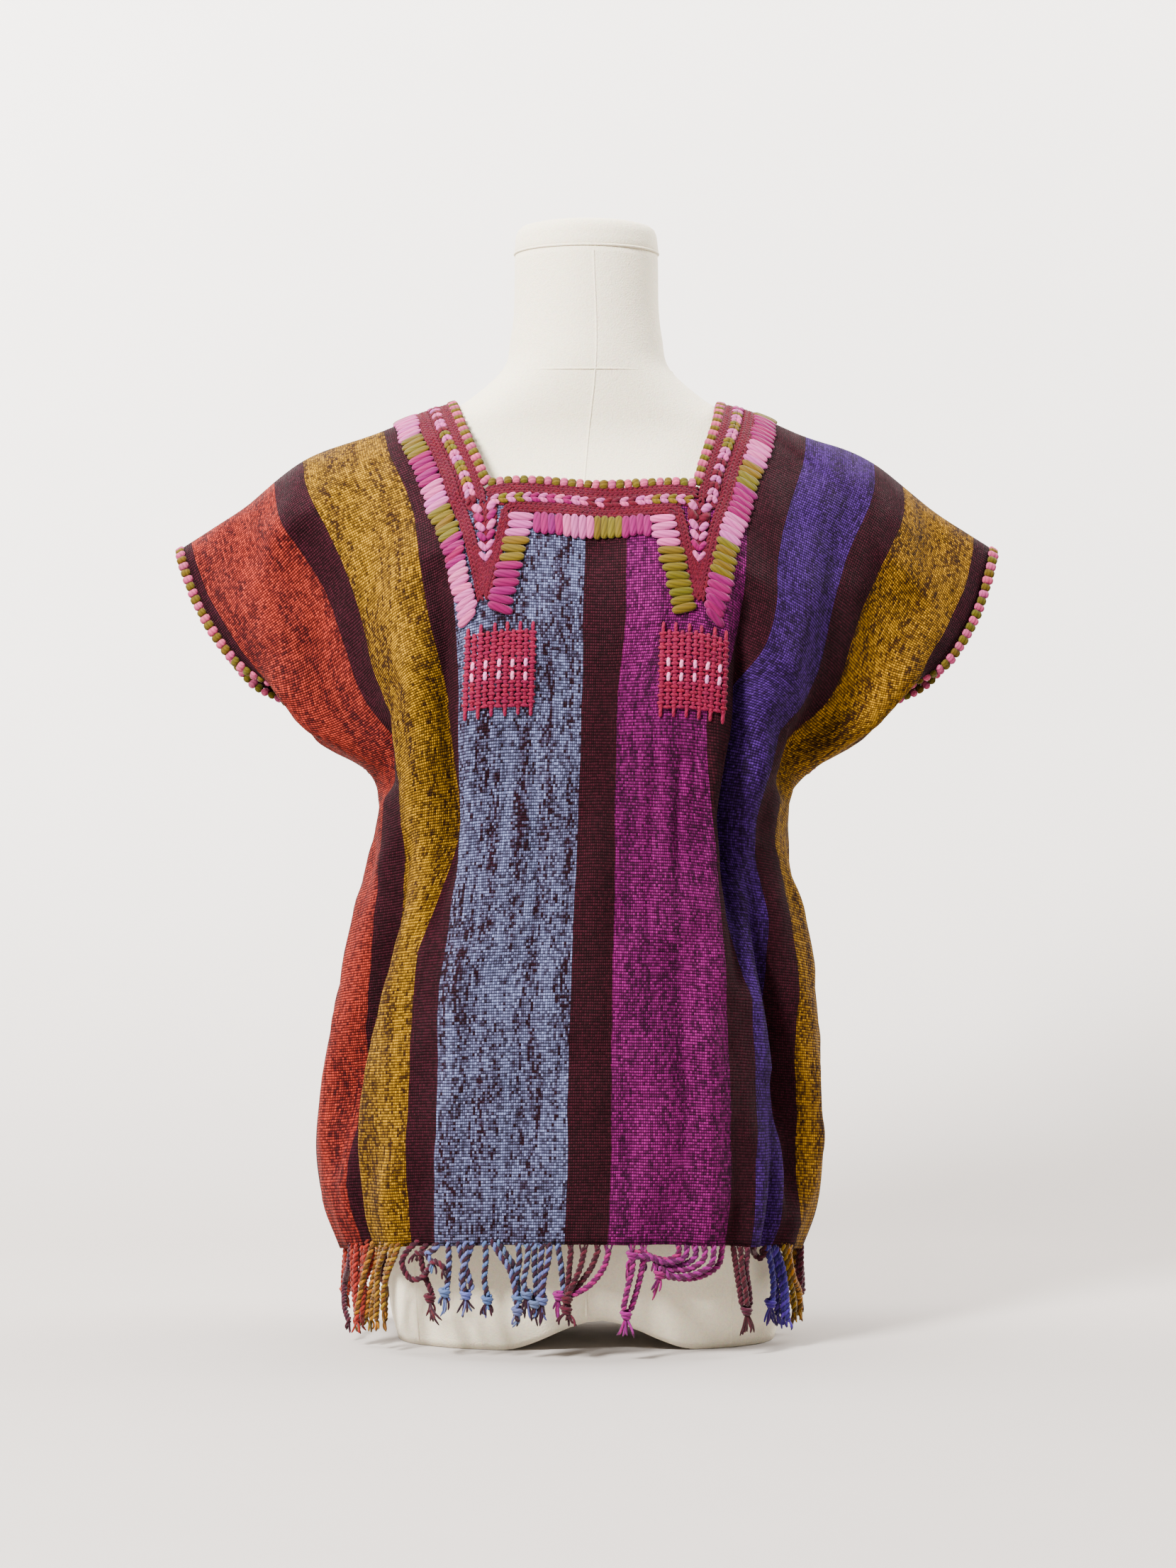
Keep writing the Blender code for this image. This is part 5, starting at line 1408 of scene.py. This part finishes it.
# Fringe: the warp ends left below the hem, twisted by hand into cords of two plies. Bunches of cords
# are knotted together and end in loose tassels, and some are drawn aside to a neighbour's knot.
# Each cord has its stripe's colours. The cords start as a few loose yarns along the hem.
Cord = namedtuple("Cord", "yarn path")
Knot = namedtuple("Knot", "yarn x z ends_left ends_right end_z")
Strand = namedtuple("Strand", "path radius tint across_to")
FRINGE_YARNS = {
    "maroon": ("40101e", "2c0a16"),
    "rust": ("802216", "58160f"),
    "mustard": ("805808", "50340a"),
    "blue": ("4a5680", "260e1c"),
    "purple": ("700e58", "480838"),
    "indigo": ("341e6e", "20104a"),
}
FRONT_CORDS = [
    Cord("maroon", ((-159, 68), (-162, 52), (-169, 36), (-167, 22), (-163, 13))),
    Cord("rust", ((-158, 73), (-158, 57), (-157, 38), (-155, 20))),
    Cord("rust", ((-154, 73), (-155, 54), (-154, 36), (-153, 16))),
    Cord("rust", ((-151, 73), (-151, 57), (-152, 38), (-152, 17))),
    Cord("rust", ((-147, 73), (-149, 60), (-150, 41), (-151, 20))),
    Cord("mustard", ((-142, 75), (-145, 64), (-149, 49), (-152, 30), (-154, 17))),
    Cord("mustard", ((-139, 75), (-141, 62), (-144, 46), (-148, 28), (-149, 18))),
    Cord("mustard", ((-135, 75), (-138, 62), (-140, 46), (-144, 28), (-145, 17))),
    Cord("mustard", ((-131, 75), (-135, 64), (-138, 52), (-138, 33), (-139, 20))),
    Cord("mustard", ((-128, 75), (-131, 64), (-135, 52), (-136, 36), (-136, 21))),
    Cord("mustard", ((-124, 75), (-127, 66), (-132, 54), (-135, 41), (-135, 28))),
    Cord("maroon", ((-110, 77), (-118, 70), (-122, 61), (-116, 51), (-107, 53), (-102, 60), (-98, 64), (-92, 60))),
    Cord("maroon", ((-104, 76), (-110, 68), (-108, 54), (-103, 41))),
    Cord("maroon", ((-99, 77), (-102, 70), (-110, 68), (-114, 68))),
    Cord("blue", ((-97, 77), (-99, 72), (-104, 68), (-99, 62))),
    Cord("blue", ((-91, 80), (-91, 64), (-92, 54), (-93, 46))),
    Cord("blue", ((-85, 80), (-82, 68), (-78, 57), (-75, 46))),
    Cord("blue", ((-80, 80), (-79, 69), (-81, 57), (-80, 45))),
    Cord("blue", ((-74, 80), (-78, 68), (-82, 57), (-82, 45))),
    Cord("blue", ((-67, 80), (-66, 68), (-67, 53), (-65, 42))),
    Cord("blue", ((-63, 80), (-57, 70), (-50, 60), (-46, 45), (-45, 34))),
    Cord("blue", ((-59, 80), (-53, 70), (-47, 60), (-45, 44))),
    Cord("blue", ((-45, 78), (-44, 66), (-46, 54), (-46, 41))),
    Cord("blue", ((-38, 77), (-39, 64), (-41, 52), (-39, 44))),
    Cord("blue", ((-34, 78), (-34, 62), (-33, 49), (-34, 40))),
    Cord("blue", ((-29, 77), (-30, 64), (-30, 52), (-31, 40))),
    Cord("blue", ((-24, 78), (-25, 66), (-28, 54), (-29, 41))),
    Cord("blue", ((-19, 77), (-17, 64), (-16, 53), (-15, 44))),
    Cord("maroon", ((-10, 75), (-11, 64), (-12, 52), (-13, 42))),
    Cord("maroon", ((-1, 75), (-4, 62), (-9, 50), (-13, 42))),
    Cord("maroon", ((8, 74), (3, 61), (-5, 50), (-11, 42))),
    Cord("purple", ((15, 74), (11, 61), (2, 50), (-10, 43))),
    Cord("purple", ((30, 74), (30, 62), (27, 49), (24, 34))),
    Cord("purple", ((38, 74), (37, 62), (34, 48), (29, 33))),
    Cord("purple", ((61, 75), (60, 69), (53, 66), (44, 68), (35, 72), (30, 70))),
    Cord("purple", ((66, 75), (65, 68), (57, 65), (49, 65), (40, 69), (31, 69))),
    Cord("purple", ((72, 75), (71, 67), (63, 62), (54, 62), (44, 67), (37, 65))),
    Cord("purple", ((78, 75), (77, 66), (69, 60), (60, 59), (50, 60), (44, 65))),
    Cord("purple", ((84, 75), (82, 63), (73, 57), (63, 55), (54, 56), (47, 62))),
    Cord("purple", ((90, 75), (88, 62), (79, 56), (68, 53), (57, 54), (49, 56))),
    Cord("maroon", ((97, 73), (99, 59), (101, 46), (103, 33))),
    Cord("maroon", ((102, 72), (103, 56), (105, 44), (106, 33))),
    Cord("maroon", ((107, 72), (106, 57), (108, 44), (109, 33))),
    Cord("maroon", ((111, 72), (112, 65), (116, 61), (120, 66), (119, 70))),
    Cord("indigo", ((120, 70), (123, 56), (124, 41), (123, 31))),
    Cord("indigo", ((122, 70), (125, 55), (128, 39), (129, 22))),
    Cord("indigo", ((124, 70), (128, 55), (131, 39), (132, 20))),
    Cord("indigo", ((126, 70), (131, 54), (133, 36), (134, 18))),
    Cord("maroon", ((127, 69), (132, 55), (135, 43), (136, 31))),
    Cord("mustard", ((131, 72), (134, 60), (136, 47), (139, 35), (140, 23))),
    Cord("mustard", ((134, 72), (136, 59), (138, 46), (142, 35), (143, 22))),
    Cord("mustard", ((137, 73), (137, 60), (139, 46), (144, 35), (144, 23))),
]
FRONT_KNOTS = [
    Knot("maroon", -103, 39, -106, -94, 25),
    Knot("blue", -93, 44, -97, -90, 32),
    Knot("blue", -79, 43, -85, -74, 30),
    Knot("blue", -65, 40, -69, -62, 29),
    Knot("blue", -45, 41, -48, -43, 30),
    Knot("blue", -45, 33, -50, -42, 24),
    Knot("blue", -39, 44, -41, -37, 33),
    Knot("blue", -34, 38, -37, -32, 27),
    Knot("blue", -29, 40, -32, -26, 28),
    Knot("purple", -18, 43, -21, -16, 33),
    Knot("maroon", -13, 41, -14, -10, 37),
    Knot("maroon", -13, 34, -19, -6, 25),
    Knot("purple", 26, 31, 19, 31, 18),
    Knot("purple", 30, 70, 26, 28, 60),
    Knot("purple", 48, 57, 42, 46, 46),
    Knot("maroon", 106, 30, 101, 111, 14),
    Knot("indigo", 123, 31, 120, 127, 17),
    Knot("mustard", 142, 33, 137, 146, 13),
]
CORD_PITCH = 7.0
PLY_RADIUS = 1.32
PLY_OFFSET = 1.05
RING_STEP = 1.1
LOOSE_END = 8.0


def on_hem(across, z, front, out=0.0):
    """A place at height z straight below the hem, at a place across the web, moved out by out."""
    row = -1 if front else 0
    foot = web_points[row] + web_ways[row] * (CLOTH_WALL / 2 + out)
    x, y = (float(np.interp(across, WEB_ACROSS, foot[:, k])) for k in (0, 1))
    return (x, y, z)


def hung(points, front, out):
    """A smooth path through (across, z) turns, which swings a little forward or back as it hangs."""
    places = np.array([on_hem(across, z, front) for across, z in points])
    ahead = np.array([on_hem(across, z, front, 1.0) for across, z in points]) - places
    drop = np.linspace(0, 1, len(places))
    places += ahead * (out * np.sin(drop * pi * 0.6))[:, None]
    fine = through(np.arange(len(places)), places, np.linspace(0, len(places) - 1, 24 * len(places)))
    along = lengths_along(fine)
    return read_at(fine, along, np.linspace(0, along[-1], max(6, round(along[-1] / RING_STEP))))


def twisted(path, yarn, start):
    """Two plies wound round each other along a path."""
    along = lengths_along(path)
    run = np.gradient(path, axis=0)
    run /= np.linalg.norm(run, axis=1)[:, None]
    aside = np.cross(run, (0.0, 1.0, 0.0))
    aside /= np.linalg.norm(aside, axis=1)[:, None]
    ahead = np.cross(run, aside)
    made = []
    for ply in (0, 1):
        turn = along * 2 * pi / CORD_PITCH + pi * ply + start
        offset = aside * np.cos(turn)[:, None] + ahead * np.sin(turn)[:, None]
        tint = tinted(FRINGE_YARNS[yarn][ply], 0.12)
        made.append(Strand(path + offset * PLY_OFFSET, PLY_RADIUS, tint, (0, 1, 0)))
    return made


def loose(start, end, yarn, sway, radius=0.5):
    """One loose yarn from a start to an end, with a soft bend to one side."""
    start, end = np.array(start), np.array(end)
    share = np.linspace(0, 1, 8)[:, None]
    bend = np.array((sway, 0.4 * sway, 0)) * np.sin(share * pi * 0.9)
    tint = tinted(FRINGE_YARNS[yarn][chance.integers(2)], 0.15)
    return Strand(start + (end - start) * share + bend, radius, tint, (0, 1, 0))


def knotted(place, yarn):
    """A knot: a cord's end wound round the bunch."""
    turn = np.linspace(0, 2 * pi * 2.4, 30)
    wide = 2.5 + 0.6 * np.sin(turn / 2.4)
    path = np.stack([wide * np.cos(turn), wide * np.sin(turn), 2.4 - turn * 0.36], axis=1)
    return Strand(path + place, 1.5, tinted(FRINGE_YARNS[yarn][0], 0.1), (0, 0, 1))


def hang_fringe(cords, knots, front):
    """All strands of one side's fringe: cords with loose yarns at their heads and feet, and knots."""
    made = []
    hem_z = web_points[-1 if front else 0][:, 2]
    for number, cord in enumerate(cords):
        path = hung(cord.path, front, (number % 3 - 1) * 2.2)
        made += twisted(path, cord.yarn, chance.uniform(0, 6))
        across = cord.path[0][0]
        head_z = float(np.interp(across, WEB_ACROSS, hem_z)) + 2.5
        for shift in (-3.4, -0.6, 2.6):
            top = on_hem(across + shift + 0.5 * chance.normal(), head_z, front)
            made.append(loose(top, path[5], cord.yarn, 0.4 * chance.normal(), 0.75))
        if not any(abs(cord.path[-1][0] - knot.x) < 6 and abs(cord.path[-1][1] - knot.z) < 8 for knot in knots):
            for _ in range(4):
                tip = path[-1] + (1.7 * chance.normal(), 1.5 * chance.normal(), -LOOSE_END * chance.uniform(0.5, 1))
                made.append(loose(path[-2], np.maximum(tip, (-999, -999, 2.5)), cord.yarn, 1.2 * chance.normal(), 0.8))
    for knot in knots:
        place = np.array(on_hem(knot.x, knot.z, front, 0.6))
        made.append(knotted(place, knot.yarn))
        for share in np.linspace(0, 1, 8):
            foot_x = knot.ends_left + (knot.ends_right - knot.ends_left) * share + 0.5 * chance.normal()
            foot = np.array(on_hem(foot_x, knot.end_z * (1 + 0.1 * chance.normal()), front, 1.5 * chance.normal()))
            made.append(loose(place - (0, 0, 1.5), foot, knot.yarn, 1.2 * chance.normal(), 0.85))
    return made


def spin(name, strands, thread, sides=5):
    """One mesh of all these strands, each a closed round yarn with its own tint."""
    places, faces, threads, tints = [], [], [], []
    for strand in strands:
        path = np.asarray(strand.path)
        run = np.gradient(path, axis=0)
        run /= np.linalg.norm(run, axis=1)[:, None]
        aside = np.cross(run, strand.across_to)
        aside /= np.maximum(np.linalg.norm(aside, axis=1), 1e-6)[:, None]
        ahead = np.cross(run, aside)
        steps = np.arange(len(path))
        radius = strand.radius * np.clip(np.minimum(steps, steps[::-1]) * 0.5 + 0.45, 0, 1)
        turn = np.arange(sides) * 2 * pi / sides
        rings = aside[:, None] * np.cos(turn)[None, :, None] + ahead[:, None] * np.sin(turn)[None, :, None]
        rings = path[:, None] + rings * radius[:, None, None]
        first = sum(len(block) for block in places)
        places.append(rings.reshape(-1, 3))
        tints += [strand.tint] * rings.size
        along = lengths_along(path) / 6.0
        for i in range(len(path) - 1):
            for j in range(sides):
                k = (j + 1) % sides
                here, there = first + i * sides, first + (i + 1) * sides
                faces.append([here + j, here + k, there + k, there + j])
                threads += [(j / sides, along[i]), ((j + 1) / sides, along[i])]
                threads += [((j + 1) / sides, along[i + 1]), (j / sides, along[i + 1])]
        last = first + (len(path) - 1) * sides
        faces.append([first + j for j in reversed(range(sides))])
        faces.append([last + j for j in range(sides)])
        threads += [(0.5, along[0])] * sides + [(0.5, along[-1])] * sides
    places = np.concatenate(places)
    mesh = bpy.data.meshes.new(name)
    mesh.from_pydata((places * MM).tolist(), [], faces)
    mesh.uv_layers.new(name="thread").data.foreach_set("uv", np.array(threads, np.float32).ravel())
    colours = np.clip(np.array(tints, np.float32)[: 3 * len(places) : 3], 0, 1)
    mesh.attributes.new("tint", "FLOAT_COLOR", "POINT").data.foreach_set("color", colours.ravel())
    mesh.shade_smooth()
    piece = object_of(name, mesh, thread)
    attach(piece, "root")
    return piece


def stripe_yarn_at(cloth_across):
    """Which yarn's cords hang below a place across the cloth."""
    names = ["maroon", "rust", "maroon", "mustard", "maroon", "blue", "maroon", "purple", "maroon", "indigo",
             "maroon", "mustard", "maroon"]
    return names[int(np.searchsorted([stripe.ends for stripe in STRIPES[:-1]], cloth_across))]


front_hem_x = (web_points[-1] + web_ways[-1] * CLOTH_WALL / 2)[:, 0]
front_cords = [Cord(cord.yarn, [(float(np.interp(x, front_hem_x, WEB_ACROSS)), z) for x, z in cord.path])
               for cord in FRONT_CORDS]
front_knots = [knot._replace(x=float(np.interp(knot.x, front_hem_x, WEB_ACROSS)),
                             ends_left=float(np.interp(knot.ends_left, front_hem_x, WEB_ACROSS)),
                             ends_right=float(np.interp(knot.ends_right, front_hem_x, WEB_ACROSS)))
               for knot in FRONT_KNOTS]
back_cords, back_knots = [], []
bunch = -280.0
while bunch < 278:
    count = int(chance.integers(3, 6))
    width = count * 6.4
    middle_across = bunch + width / 2 + 2.0 * chance.normal()
    hem = float(np.interp(middle_across, WEB_ACROSS, web_points[0][:, 2]))
    tied = hem - chance.uniform(30, 40)
    yarn = stripe_yarn_at(float(np.interp(middle_across, WEB_ACROSS, web_cloth[0])))
    for k in range(count):
        across = bunch + (k + 0.5) * 6.4
        meets = middle_across + (k - (count - 1) / 2) * 0.8
        sag = 1.6 * chance.normal()
        own = stripe_yarn_at(float(np.interp(across, WEB_ACROSS, web_cloth[0])))
        back_cords.append(Cord(own, [(across, hem + 1.0), (across * 0.7 + meets * 0.3 + sag, hem - 12),
                                     (across * 0.3 + meets * 0.7 + sag, hem - 24), (meets, tied + 1.5)]))
    spread_out = chance.uniform(4, 8)
    back_knots.append(Knot(yarn, middle_across, tied, middle_across - spread_out, middle_across + spread_out,
                           max(6.0, tied - chance.uniform(10, 15))))
    bunch += width + chance.uniform(1, 6)
fringe_cotton = stitch_yarn("fringe_cotton", 1.6, 3.0, 0.3, 0.85, 0.15)
fringe_front = spin("fringe_cords_front", hang_fringe(front_cords, front_knots, True), fringe_cotton)
fringe_back = spin("fringe_cords_back", hang_fringe(back_cords, back_knots, False), fringe_cotton)
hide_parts("fringe_front")
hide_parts("fringe_back")
